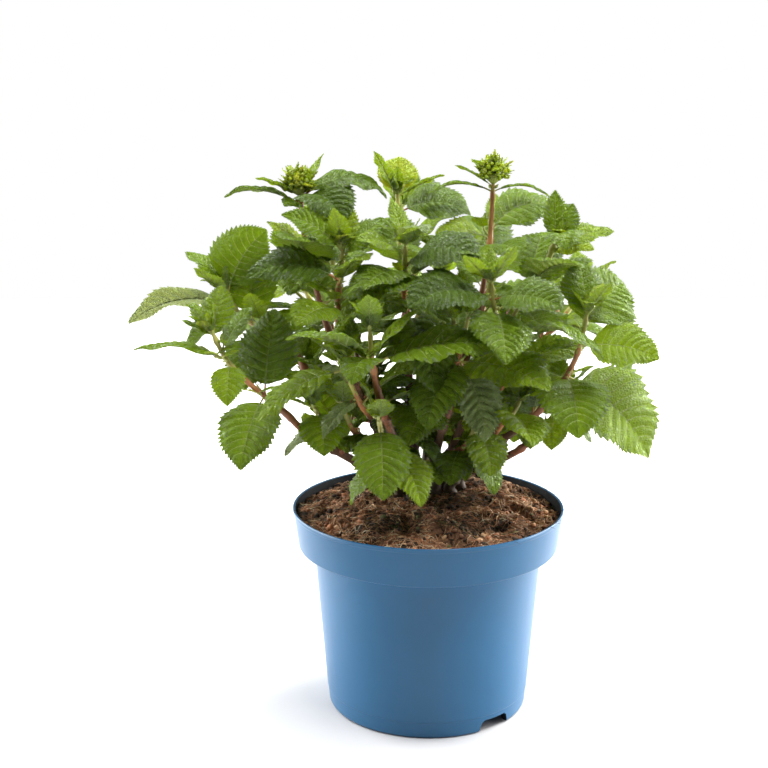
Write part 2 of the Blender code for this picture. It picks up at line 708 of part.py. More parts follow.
def leaf_mesh(leaf, start, extra=0.0):
    """Vertices and triangles of a leaf, as one closed loft of four-sided sections.

    The upper and the lower side are split along the same diagonals, so that they never cross.
    """
    sections, tip = leaf.sections(start, extra)
    vertices = [corner for section in sections for corner in section] + [tip]
    faces = [(0, 1, 2), (0, 2, 3)]
    for ring in range(len(sections) - 1):
        for corner in range(4):
            a = ring * 4 + corner
            b = ring * 4 + (corner + 1) % 4
            if corner % 2:
                faces += [(a, a + 4, b + 4), (a, b + 4, b)]
            else:
                faces += [(a, a + 4, b), (b, a + 4, b + 4)]
    last = (len(sections) - 1) * 4
    faces += [(last + corner, len(vertices) - 1, last + (corner + 1) % 4) for corner in range(4)]
    return vertices, faces


class Space:
    """What the plant already fills, so that a new leaf can be kept clear of it.

    A shoot's bud and the feet of its leaves stand under its name. Its stem, twigs and leaves stand
    under its name with OWN: they are passed over only where a foot leaves the stem.
    """

    def __init__(self):
        self.solids = []

    def add(self, vertices, faces, owner=None):
        """Fill some space, in an owner's name."""
        low = Vector(map(min, *vertices))
        high = Vector(map(max, *vertices))
        self.solids.append((low, high, BVHTree.FromPolygons(vertices, faces), owner))

    def free(self, vertices, faces, owners=()):
        """Whether some space is empty, but for what the given owners fill."""
        low = Vector(map(min, *vertices))
        high = Vector(map(max, *vertices))
        tree = None
        for other_low, other_high, other, other_owner in self.solids:
            if other_owner in owners:
                continue
            if any(low[i] > other_high[i] or high[i] < other_low[i] for i in range(3)):
                continue
            tree = tree or BVHTree.FromPolygons(vertices, faces)
            if tree.overlap(other):
                return False
        return True


def limb_mesh(points, radii, sides=6):
    """A plain closed tube, only for keeping leaves clear of the limbs."""
    vertices, faces = [], []
    for number, (place, radius) in enumerate(zip(points, radii)):
        before, after = points[max(0, number - 1)], points[min(len(points) - 1, number + 1)]
        direction = (after - before).normalized()
        across = direction.orthogonal().normalized()
        other = direction.cross(across)
        for side in range(sides):
            angle = 2 * math.pi * side / sides
            vertices.append(place + (across * math.cos(angle) + other * math.sin(angle)) * radius)
    for ring in range(len(points) - 1):
        for side in range(sides):
            a = ring * sides + side
            b = ring * sides + (side + 1) % sides
            faces.append((a, b, b + sides, a + sides))
    faces.append(tuple(range(sides)))
    faces.append(tuple(range(len(vertices) - sides, len(vertices))))
    return vertices, faces


def bud_size(name):
    """Radius and length of the bud on a shoot's tip."""
    if name in FLOWER_SHOOTS:
        return FLOWER_BUD_RADIUS, FLOWER_BUD_LENGTH
    return BUD_RADIUS, BUD_LENGTH


def in_crown(place):
    """Whether a place is in the crown: an ellipsoid, open underneath where the soil shows."""
    scaled = [(place[i] - CROWN_CENTRE[i]) / CROWN_REACH[i] for i in range(3)]
    out = max(0.0, math.hypot(place.x, place.y) - UNDERSIDE_RADIUS)
    return sum(value * value for value in scaled) <= 1.0 and place.z > UNDERSIDE + UNDERSIDE_SLOPE * out


def place_leaf(leaf, space, stem, radius, owner, bounded=True):
    """The first aim of the leaf that keeps clear of the plant and inside the crown, or None."""
    for size in SIZES:
        for heading, rise in AIMS:
            tried = leaf.turned(heading, rise, size)
            slant = tried.frame(0.0)[0].cross(stem).length
            start = min(LONGEST_START, (radius + LEAF_GAP) / max(slant, LEAST_SLANT))
            if bounded and not in_crown(tried.point(tried.stalk + tried.length)):
                continue
            whole = leaf_mesh(tried, 0.0, extra=CLEAR)
            blade = leaf_mesh(tried, start, extra=CLEAR)
            if min(v.z for v in whole[0]) < SOIL_CROWN + LEAF_OFF_SOIL:
                continue
            if space.free(*blade, (owner,)) and space.free(*whole, (owner, owner + OWN)):
                space.add(*leaf_mesh(tried, start), owner + OWN)
                space.add(*leaf_mesh(tried, 0.0), owner)
                return tried
    return None


def leaf_pair(place, direction, turn, rank, length, radius, space, owner, dice):
    """The two opposite leaves at a node."""
    size, spread, droop, width = RANKS[min(rank, len(RANKS) - 1)]
    across = Vector((math.cos(turn), math.sin(turn), 0.0))
    across = (across - direction * across.dot(direction)).normalized()
    found = []
    for way in (1, -1):
        angle = math.radians(spread + dice.uniform(-AIM_SPREAD, AIM_SPREAD))
        aim = direction * math.cos(angle) + across * way * math.sin(angle)
        leaf = Leaf(
            place,
            math.atan2(aim.y, aim.x),
            math.asin(max(-1.0, min(1.0, aim.z))),
            length * size * dice.uniform(*SIZE_SPREAD),
            math.radians(droop * dice.uniform(*DROOP_SPREAD)),
            roll=math.radians(dice.uniform(-ROLL_SPREAD, ROLL_SPREAD)),
            width=width,
        )
        placed = place_leaf(leaf, space, direction, radius, owner)
        if placed:
            found.append(placed)
    return found


def outer_leaves(name, space):
    """The shoot's leaves that reach for the crown's outline."""
    points, radii = shoot_axis(name)
    found = []
    for share, tip, droop, roll, width in OUTER_LEAVES.get(name, ()):
        place, direction = along(points, share)
        radius = radii[0] + (radii[-1] - radii[0]) * share
        leaf = Leaf.reaching(place, Vector(tip) * CM, math.radians(droop), math.radians(roll), width)
        placed = place_leaf(leaf, space, direction, radius, name, bounded=False)
        if placed:
            found.append(placed)
    return found


def shoot_node(points, radii, pairs, rank):
    """Where a pair of leaves stands on a shoot: its place, the stem's direction and its radius there."""
    lowest = LOW_NODE if pairs > 2 else SHORT_LOW_NODE
    share = TOP_NODE - (TOP_NODE - lowest) * rank / max(1, pairs - 1)
    place, direction = along(points, share)
    return place, direction, radii[0] + (radii[-1] - radii[0]) * share


def grow_twig(place, direction, side, reach, name, space):
    """A short side twig and the way it points, or None where it would touch or leave the crown."""
    across = Vector((math.cos(side), math.sin(side), 0.0))
    aim = (direction * TWIG_LEAN + across + UP * TWIG_LIFT).normalized()
    twig = [place, place + aim * TWIG_START, place + aim * reach]
    foot = limb_mesh(twig[:2], [TWIG_RADIUS, TWIG_RADIUS])
    body = limb_mesh(twig[1:], [TWIG_RADIUS, TWIG_RADIUS])
    clear = space.free(*foot, (name, name + OWN)) and space.free(*body, (name,))
    if not clear or not in_crown(twig[-1]):
        return None
    space.add(*limb_mesh(twig, [TWIG_RADIUS] * len(twig)), name + OWN)
    return twig, aim


def grow_shoot(name, space):
    """Everything that one shoot carries: its axis, its side twigs and its leaves."""
    dice = random.Random(f"{SEED} {name}")
    _, _, _, pairs, turn = SHOOTS[name]
    points, radii = shoot_axis(name)
    heading = math.radians(turn) - QUARTER_TURN
    leaves, twigs = [], []
    reach = sum((b - a).length for a, b in zip(points, points[1:]))
    size = LEAF_LENGTH * (SHORT_SHOOT_LEAF + (1.0 - SHORT_SHOOT_LEAF) * min(1.0, reach / LONG_SHOOT))
    for rank in range(pairs):
        place, direction, radius = shoot_node(points, radii, pairs, rank)
        turned = heading + rank * QUARTER_TURN
        leaves += leaf_pair(place, direction, turned, rank, size, radius, space, name, dice)
    for rank in range(2, pairs):
        place, direction, _ = shoot_node(points, radii, pairs, rank)
        side = heading + rank * QUARTER_TURN + (0 if dice.random() < 0.5 else HALF_TURN)
        found = grow_twig(place, direction, side, dice.uniform(*TWIG_REACH), name, space)
        if not found:
            continue
        twig, aim = found
        twigs.append((twig, TWIG_RADII))
        across = side + QUARTER_TURN
        root = twig[-1] - aim * TWIG_LEAF_SINK
        leaves += leaf_pair(root, aim, across, 0, TWIG_LEAF_LENGTH, TWIG_RADIUS, space, name, dice)
    return points, radii, twigs, leaves


def grow_plant():
    """Boughs first, then the shoots' stems, then leaves shoot by shoot, each clear of all before it."""
    space = Space()
    for name in BOUGHS:
        space.add(*limb_mesh(*bough_axis(name)))
    for name in SHOOTS:
        points, radii = shoot_axis(name)
        space.add(*limb_mesh(points, radii), name + OWN)
        direction = (points[-1] - points[-2]).normalized()
        radius, length = bud_size(name)
        space.add(*limb_mesh([points[-1], points[-1] + direction * length], [radius, radius]), name)
    outer = {name: outer_leaves(name, space) for name in SHOOTS}
    grown = {}
    for name in SHOOTS:
        points, radii, twigs, leaves = grow_shoot(name, space)
        grown[name] = (points, radii, twigs, outer[name] + leaves)
    return grown


# ---------------------------------------------------------------------------------------------------------
# The plant's solids


def make_bough(name, collection, skin):
    points, radii = bough_axis(name)
    bough = tube(name, points, radii, 1, collection)
    bough.data.materials.append(skin["bark"])
    shade(bough)
    return bough


def bud_solid(tip, direction, radius, length, collection):
    """A plump bud on a shoot's tip, sunk a little way over it."""
    place = tip + direction * (length / 2 - BUD_SINK)
    form = bmesh.new()
    bmesh.ops.create_icosphere(form, subdivisions=1, radius=1.0)
    bmesh.ops.scale(form, verts=form.verts, vec=(radius, radius, length / 2))
    bud = object_from_bmesh("bud", form, collection)
    turn = direction.to_track_quat("Z", "Y").to_matrix().to_4x4()
    bud.data.transform(turn)
    for vertex in bud.data.vertices:
        vertex.co += place
    return bud


def leaf_solid(leaf, collection):
    vertices, faces = leaf_mesh(leaf, 0.0)
    form = bmesh.new()
    made = [form.verts.new(v) for v in vertices]
    for face in faces:
        form.faces.new([made[i] for i in face])
    return object_from_bmesh("leaf", form, collection)


def make_mass(name, grown, collection, skin):
    """One shoot's stem, twigs, bud and leaves, fused into a single solid."""
    points, radii, twigs, leaves = grown
    mass = tube(name, points, radii, 0, collection)
    fused = new_collection(name + "_pieces")
    for twig, twig_radii in twigs:
        tube("twig", twig, twig_radii, 0, fused)
    for leaf in leaves:
        leaf_solid(leaf, fused)
    direction = (points[-1] - points[-2]).normalized()
    bud_solid(points[-1], direction, *bud_size(name), fused)
    union = mass.modifiers.new("fuse", "BOOLEAN")
    union.operation = "UNION"
    union.operand_type = "COLLECTION"
    union.collection = fused
    apply_modifiers(mass)
    for obj in list(fused.objects):
        bpy.data.objects.remove(obj)
    bpy.data.collections.remove(fused)
    mass.data.materials.clear()
    mass.data.materials.append(skin["leaf"])
    shade(mass, 30)
    return mass


def main():
    clear_scene()
    skin = make_materials()
    shrub = new_collection("hydrangea shrub")
    cutters = new_collection("cutters")
    make_pot(shrub, cutters, skin)
    make_soil(shrub, skin)
    for name in BOUGHS:
        make_bough(name, shrub, skin)
    grown = grow_plant()
    for name in SHOOTS:
        make_mass(name, grown[name], shrub, skin)


main()
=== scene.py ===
"""A hydrangea shrub in its round nursery pot.

Woody boughs rise from the peat and carry leafy shoots. Each shoot is a stem with pairs of opposite, toothed
leaves, every pair at a right angle to the last. Small buds stand in the axils, and young leaves or a head
of flower buds on top. Metres, +Z up, +Y to the back, origin under the middle of the pot.
"""

import math
import random

import bmesh
import bpy
import numpy as np
from mathutils import Matrix, Vector
from mathutils.bvhtree import BVHTree


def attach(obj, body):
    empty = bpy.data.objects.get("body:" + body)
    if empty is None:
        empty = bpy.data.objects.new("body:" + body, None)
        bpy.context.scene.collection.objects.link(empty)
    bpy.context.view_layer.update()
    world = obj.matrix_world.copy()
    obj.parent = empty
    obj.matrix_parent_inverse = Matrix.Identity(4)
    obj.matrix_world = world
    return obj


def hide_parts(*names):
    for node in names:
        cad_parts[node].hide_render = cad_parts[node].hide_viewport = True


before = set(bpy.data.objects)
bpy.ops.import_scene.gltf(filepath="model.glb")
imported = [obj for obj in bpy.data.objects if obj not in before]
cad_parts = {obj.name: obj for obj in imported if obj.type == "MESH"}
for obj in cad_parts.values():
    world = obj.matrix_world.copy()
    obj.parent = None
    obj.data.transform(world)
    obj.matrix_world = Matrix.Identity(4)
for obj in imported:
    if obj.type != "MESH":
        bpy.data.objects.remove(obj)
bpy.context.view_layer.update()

CM = 0.01
CLEAR = 0.0003
WELD = 0.00002

# ---------------------------------------------------------------------------------------------------------
# Sizes of the pot and its peat

POT_HEIGHT = 0.159
RIM_RADIUS = 0.105
COLLAR_FOOT_RADIUS = 0.1005
COLLAR_HEIGHT = 0.031
WALL_TOP_RADIUS = 0.0885
BASE_RADIUS = 0.078
WALL = 0.002
RIM_BAND = (0.0002, 0.0030)
RIM_STEP = (0.0008, 0.0036)
LIP_DROP = 0.0005
COLLAR_SHELF = 0.0015
COLLAR_TURN = 0.0035
COLLAR_LIFT = 0.0004
COLLAR_ROUNDING = 0.0018
SHOULDER_DROP = 0.0005
SHOULDER_ROUNDING = 0.0012
BASE_ROUNDING = 0.0024
FLOOR_ROUNDING = 0.0030
SOFT_EDGE = 0.0008
CHANNEL_EDGE = 0.0006
FINE_EDGE = 0.0004
FOOT_RING_WIDTH = 0.006
FOOT_CHANNEL_HEIGHT = 0.010
FOOT_DISC_RADIUS = 0.055
FOOT_LINE_HEIGHT = 0.0125
FOOT_LINE_STEP = 0.00045
FOOT_LINE_SLOPE = 0.0006
FOOT_LINE_EDGES = (0.0003, 0.0002)
ROUNDING_STEPS = 5
POT_SIDES = 160
POT_SHARP_ANGLE = math.radians(38)
NOTCH_WIDTH = 0.030
NOTCH_HEIGHT = 0.009
NOTCH_DEPTH = 0.030
NOTCH_FLARE = 0.18
NOTCH_ROUNDING = 0.0015
NOTCH_SEGMENTS = 3
NOTCH_HEADINGS = (-50.0, 130.0)

SOIL_EDGE = POT_HEIGHT - 0.005
SOIL_CROWN = POT_HEIGHT + 0.006
SOIL_FLAT_RADIUS = 0.046
SOIL_BUMP = 0.0018
LARGE_LUMP = 0.058
SMALL_LUMP = 0.030
SOIL_DEPTH = 0.030
SOIL_RINGS = 64
SOIL_SIDES = 256
# Clods of three sizes: how far across, how high
SOIL_LUMPS = ((0.020, 0.0026), (0.0085, 0.0019), (0.0036, 0.0011))
LUMP_LEVEL = 0.15
DARK_PATCH = 0.011
DARK_LEVEL = 0.22
FIBRES = 5300
FIBRE_LENGTHS = (0.004, 0.017)
FIBRE_RADII = (0.00014, 0.00034)
FIBRE_POINTS = 4
FIBRE_BEND = 0.7
FIBRE_TILT = 0.10
FIBRE_ARCH = 0.10
FIBRE_LIFT = 0.0004
FIBRE_TAPER = 0.75
FIBRE_MARGIN = 0.002
CRUMBS = 1700
CRUMB_SIZES = (0.0007, 0.0026)
CRUMB_SQUASH = 0.8
CHIPS = 200
CHIP_SIZES = (0.0016, 0.0036)
CHIP_SQUASH = 0.28
GRAIN_STRETCH = (0.5, 1.3)
GRAIN_BATTER = 0.13
GRAIN_LEAN = 0.35
GRAIN_SINK = 0.45
GRAIN_MARGIN = 0.003
STRAYS = 26
STRAY_LENGTHS = (0.006, 0.015)
STRAY_HEIGHTS = (0.003, 0.007)
STRAY_ARCH = 0.7
STRAY_BEND = 0.12
STRAY_INSET = 0.006
STRAY_DEPTH = 0.0035
STRAY_RADIUS = 0.00018
PATCH = 0.020
WET_LEVEL = 0.03

# What the peat is made of where it is wet, and where it is dry
FIBRE_MIXES = (
    {"peat_dark": 0.34, "fibre_brown": 0.30, "fibre_red": 0.14, "moss": 0.12, "fibre_tan": 0.10},
    {"fibre_red": 0.34, "fibre_tan": 0.30, "fibre_brown": 0.18, "fibre_pale": 0.13, "peat_dark": 0.05},
)
CRUMB_MIXES = (
    {"peat_dark": 0.62, "peat_brown": 0.30, "moss": 0.08},
    {"peat_brown": 0.44, "fibre_red": 0.30, "fibre_tan": 0.16, "peat_dark": 0.10},
)
CHIP_MIXES = (
    {"peat_dark": 0.5, "fibre_brown": 0.5},
    {"fibre_red": 0.5, "fibre_brown": 0.2, "fibre_tan": 0.3},
)

# ---------------------------------------------------------------------------------------------------------
# Sizes of the plant

CROWN_CENTRE = Vector((-0.034, 0.018, 0.290))
CROWN_REACH = Vector((0.208, 0.185, 0.142))
UNDERSIDE = 0.184
UNDERSIDE_RADIUS = 0.050
UNDERSIDE_SLOPE = 0.60

BOUGH_FOOT_RADIUS = 0.0034
BOUGH_TIP_RADIUS = 0.0026
ROOT_FLARE = 1.40
SHOOT_FOOT_RADIUS = 0.0024
SHOOT_TIP_RADIUS = 0.0015
TWIG_FOOT_RADIUS = 0.0015
TWIG_TIP_RADIUS = 0.0013
TWIG_RADII = (TWIG_FOOT_RADIUS, TWIG_FOOT_RADIUS, TWIG_TIP_RADIUS)
PETIOLE_RADIUS = 0.0011
BUD_RADIUS = 0.0032
BUD_LENGTH = 0.012
FLOWER_BUD_RADIUS = 0.011
FLOWER_BUD_LENGTH = 0.021
BOUGH_POINTS = 6
SHOOT_POINTS = 5
TWIG_START = 0.012
TWIG_RADIUS = 0.002
TWIG_REACH = (0.024, 0.036)
TWIG_LEAF_LENGTH = 0.076
TWIG_LEAF_SINK = 0.0025
TOP_NODE = 0.985
LOW_NODE = 0.24
SHORT_LOW_NODE = 0.42
STRAIGHT_FOOT = 0.008
STRAIGHT_START = 0.005
LIMB_REACH = 0.36
BOUGH_LEAN = 0.5
BOUGH_LIFT = 0.35
SHOOT_LEAN = 0.5
SHOOT_LIFT = 0.8
TWIG_LEAN = 1.3
TWIG_LIFT = 0.5

LEAF_LENGTH = 0.080
LEAF_WIDTH = 0.82
LEAF_THICKNESS = 0.016
LEAF_FOLD = math.radians(14)
BLADE_LEAN = 0.80
BLADE_ROUNDNESS = 0.60
BLADE_TAPER = 0.30
DROOP_CURVE = 1.2
ROLL_START = 3
CENTRE_STEPS = 12
FOOT_DEPTH = 1.15
DEPTH_LOSS = 0.5
PETIOLE_SHARE = 0.15
OUTER_RINGS = (0.0, 0.18, 0.60)
RULE_RINGS = (0.34,)
LEAF_GAP = 0.0008
LEAF_OFF_SOIL = 0.002
SHORT_SHOOT_LEAF = 0.82
LONG_SHOOT = 0.11
LONGEST_START = 0.012
LEAST_SLANT = 0.1

# Each rank of leaves, from the top pair down: its length, its angle from the stem, its droop and its width.
RANKS = (
    (0.44, 28.0, 15.0, 0.56),
    (0.82, 46.0, 55.0, 0.70),
    (1.00, 62.0, 70.0, 0.78),
    (1.02, 74.0, 80.0, 0.82),
)
RANK_TINTS = (
    ("bright", "mid", "bright"),
    ("mid", "bright", "mid"),
    ("mid", "deep"),
    ("deep", "dark", "mid"),
)
# How far a pair's leaves may differ from their rank's values, as shares and as degrees
SIZE_SPREAD = (0.90, 1.08)
DROOP_SPREAD = (0.7, 1.3)
AIM_SPREAD = 8
ROLL_SPREAD = 14

# A leaf that is blocked is tried again, aimed aside (degrees across and up), then a little smaller.
NEAR_AIMS = [(0, 0), (5, 0), (-5, 0), (0, 5), (0, -5), (8, 5), (-8, 5), (8, -5), (-8, -5), (0, 9), (0, -9)]
WIDE_AIMS = [(14, 0), (-14, 0), (0, 14), (0, -14), (24, 10), (-24, 10), (18, -16), (-18, -16)]
FAR_AIMS = [(36, 0), (-36, 0), (0, 28), (0, -30)]
AIMS = NEAR_AIMS + WIDE_AIMS + FAR_AIMS
SIZES = (1.0, 0.86)

OWN = " own"
UP = Vector((0, 0, 1))
HALF_TURN = math.pi
QUARTER_TURN = math.pi / 2

SEED = 11
GOLDEN_TURN = math.pi * (3 - math.sqrt(5))

# The finer twigs low on the boughs
SPRAYS = 7
SPRAY_LOW = 0.10
SPRAY_HIGH = 0.78
SPRAY_REACH = (0.010, 0.026)
SPRAY_RADIUS = 0.0010
SPRAY_LEAF = (0.026, 0.044)
SPRAY_LEAF_SINK = 0.001
SPRAY_LEAN = 0.6
SPRAY_LIFT = Vector((0, 0, 0.3))
SPRAY_TURN = 0.5
SPRAY_NODES = (1.0, 0.55)
SPRAY_TINTS = ("deep", "mid", "dark", "mid", "bright")

# Boughs: where the foot stands on the soil, and the tip, both in centimetres.
BOUGHS = {
    "bough_left": ((-3.2, 1.2), (-10.6, -2.4, 23.6)),
    "bough_left_back": ((-2.9, 2.7), (-10.0, 4.6, 26.2)),
    "bough_top_left": ((-2.0, 2.1), (-7.6, 1.0, 29.5)),
    "bough_mid_left": ((-2.3, 0.4), (-6.6, -3.4, 29.5)),
    "bough_front_left": ((-1.3, -0.4), (-3.9, -7.0, 26.8)),
    "bough_centre": ((-0.8, 1.8), (-1.8, -0.6, 29.5)),
    "bough_front": ((-0.2, 0.2), (2.0, -3.8, 27.2)),
    "bough_front_right": ((0.7, 1.0), (4.7, -3.0, 28.4)),
    "bough_top_right": ((0.2, 2.8), (3.8, 2.2, 30.5)),
    "bough_right_top": ((1.4, 2.5), (6.0, 0.4, 30.5)),
    "bough_right": ((1.9, 1.2), (9.4, -2.8, 25.6)),
    "bough_right_low": ((2.7, 2.6), (8.2, 0.4, 21.2)),
    "bough_right_back": ((1.4, 3.8), (8.0, 6.0, 26.0)),
    "bough_back": ((-0.2, 4.0), (1.2, 9.4, 26.0)),
    "bough_back_left": ((-1.6, 3.7), (-6.6, 9.2, 26.0)),
}

# Shoots: the bough, how far along it the shoot starts (1 is its tip), the shoot's tip in centimetres,
# its pairs of leaves, and the heading of its top pair in degrees, 0 to the right and 90 to the back.
SHOOTS = {
    "foliage_left_low": ("bough_left", 1.0, (-16.0, -3.0, 30.0), 1, 178),
    "foliage_left": ("bough_left_back", 1.0, (-15.8, 5.0, 31.6), 3, 5),
    "foliage_bud_left": ("bough_top_left", 1.0, (-9.7, 1.0, 39.8), 2, 100),
    "foliage_mid_left": ("bough_mid_left", 1.0, (-6.4, -3.0, 36.2), 2, 150),
    "foliage_front_left": ("bough_front_left", 1.0, (-4.4, -8.2, 31.2), 2, 5),
    "foliage_centre": ("bough_centre", 1.0, (-1.9, -4.0, 36.6), 3, 20),
    "foliage_centre_top": ("bough_centre", 0.72, (-2.4, 3.6, 39.6), 3, 90),
    "foliage_front": ("bough_front", 1.0, (1.6, -5.4, 31.4), 3, 150),
    "foliage_front_right": ("bough_front_right", 1.0, (4.1, -7.0, 34.4), 3, 95),
    "foliage_bud_right": ("bough_top_right", 1.0, (4.8, 2.0, 40.6), 2, 100),
    "foliage_right_top": ("bough_right_top", 1.0, (9.4, 0.2, 36.4), 2, 80),
    "foliage_right": ("bough_right", 1.0, (11.4, -3.2, 31.4), 1, 20),
    "foliage_right_low": ("bough_right_low", 1.0, (10.2, 0.2, 24.6), 3, 60),
    "foliage_left_front": ("bough_mid_left", 0.56, (-6.2, -6.0, 28.4), 2, 60),
    "foliage_left_foot": ("bough_left", 0.52, (-8.6, -3.0, 24.4), 2, 100),
    "foliage_front_foot": ("bough_front_left", 0.42, (-3.8, -7.4, 24.6), 2, 20),
    "foliage_centre_foot": ("bough_front", 0.34, (3.6, -2.4, 23.2), 2, 60),
    "foliage_mid_foot": ("bough_mid_left", 0.40, (-6.5, -3.0, 24.6), 2, 30),
    "foliage_right_foot": ("bough_right", 0.52, (6.6, -3.4, 25.0), 3, 30),
    "foliage_centre_low": ("bough_centre", 0.40, (0.6, -2.4, 25.4), 3, 60),
    "foliage_inner_right": ("bough_right_top", 0.56, (6.6, -1.4, 28.4), 3, 40),
    "foliage_inner_left": ("bough_top_left", 0.54, (-6.8, -0.4, 27.4), 3, 120),
    "foliage_right_back": ("bough_right_back", 1.0, (12.6, 8.4, 32.0), 4, 40),
    "foliage_back_right": ("bough_right_back", 0.74, (5.8, 9.6, 36.0), 4, 20),
    "foliage_back_right_foot": ("bough_right_back", 0.50, (10.0, 5.6, 24.4), 3, 100),
    "foliage_back": ("bough_back", 1.0, (1.8, 14.0, 31.8), 4, 70),
    "foliage_back_top": ("bough_back", 0.72, (-2.0, 8.4, 38.0), 4, 140),
    "foliage_back_foot": ("bough_back", 0.50, (3.4, 12.0, 24.2), 3, 20),
    "foliage_back_left": ("bough_back_left", 1.0, (-10.6, 12.6, 32.4), 4, 120),
    "foliage_top_left_back": ("bough_back_left", 0.76, (-8.0, 6.4, 36.6), 4, 50),
    "foliage_left_back_foot": ("bough_back_left", 0.52, (-9.4, 9.0, 24.8), 3, 60),
}
FLOWER_SHOOTS = ("foliage_bud_left", "foliage_bud_right")

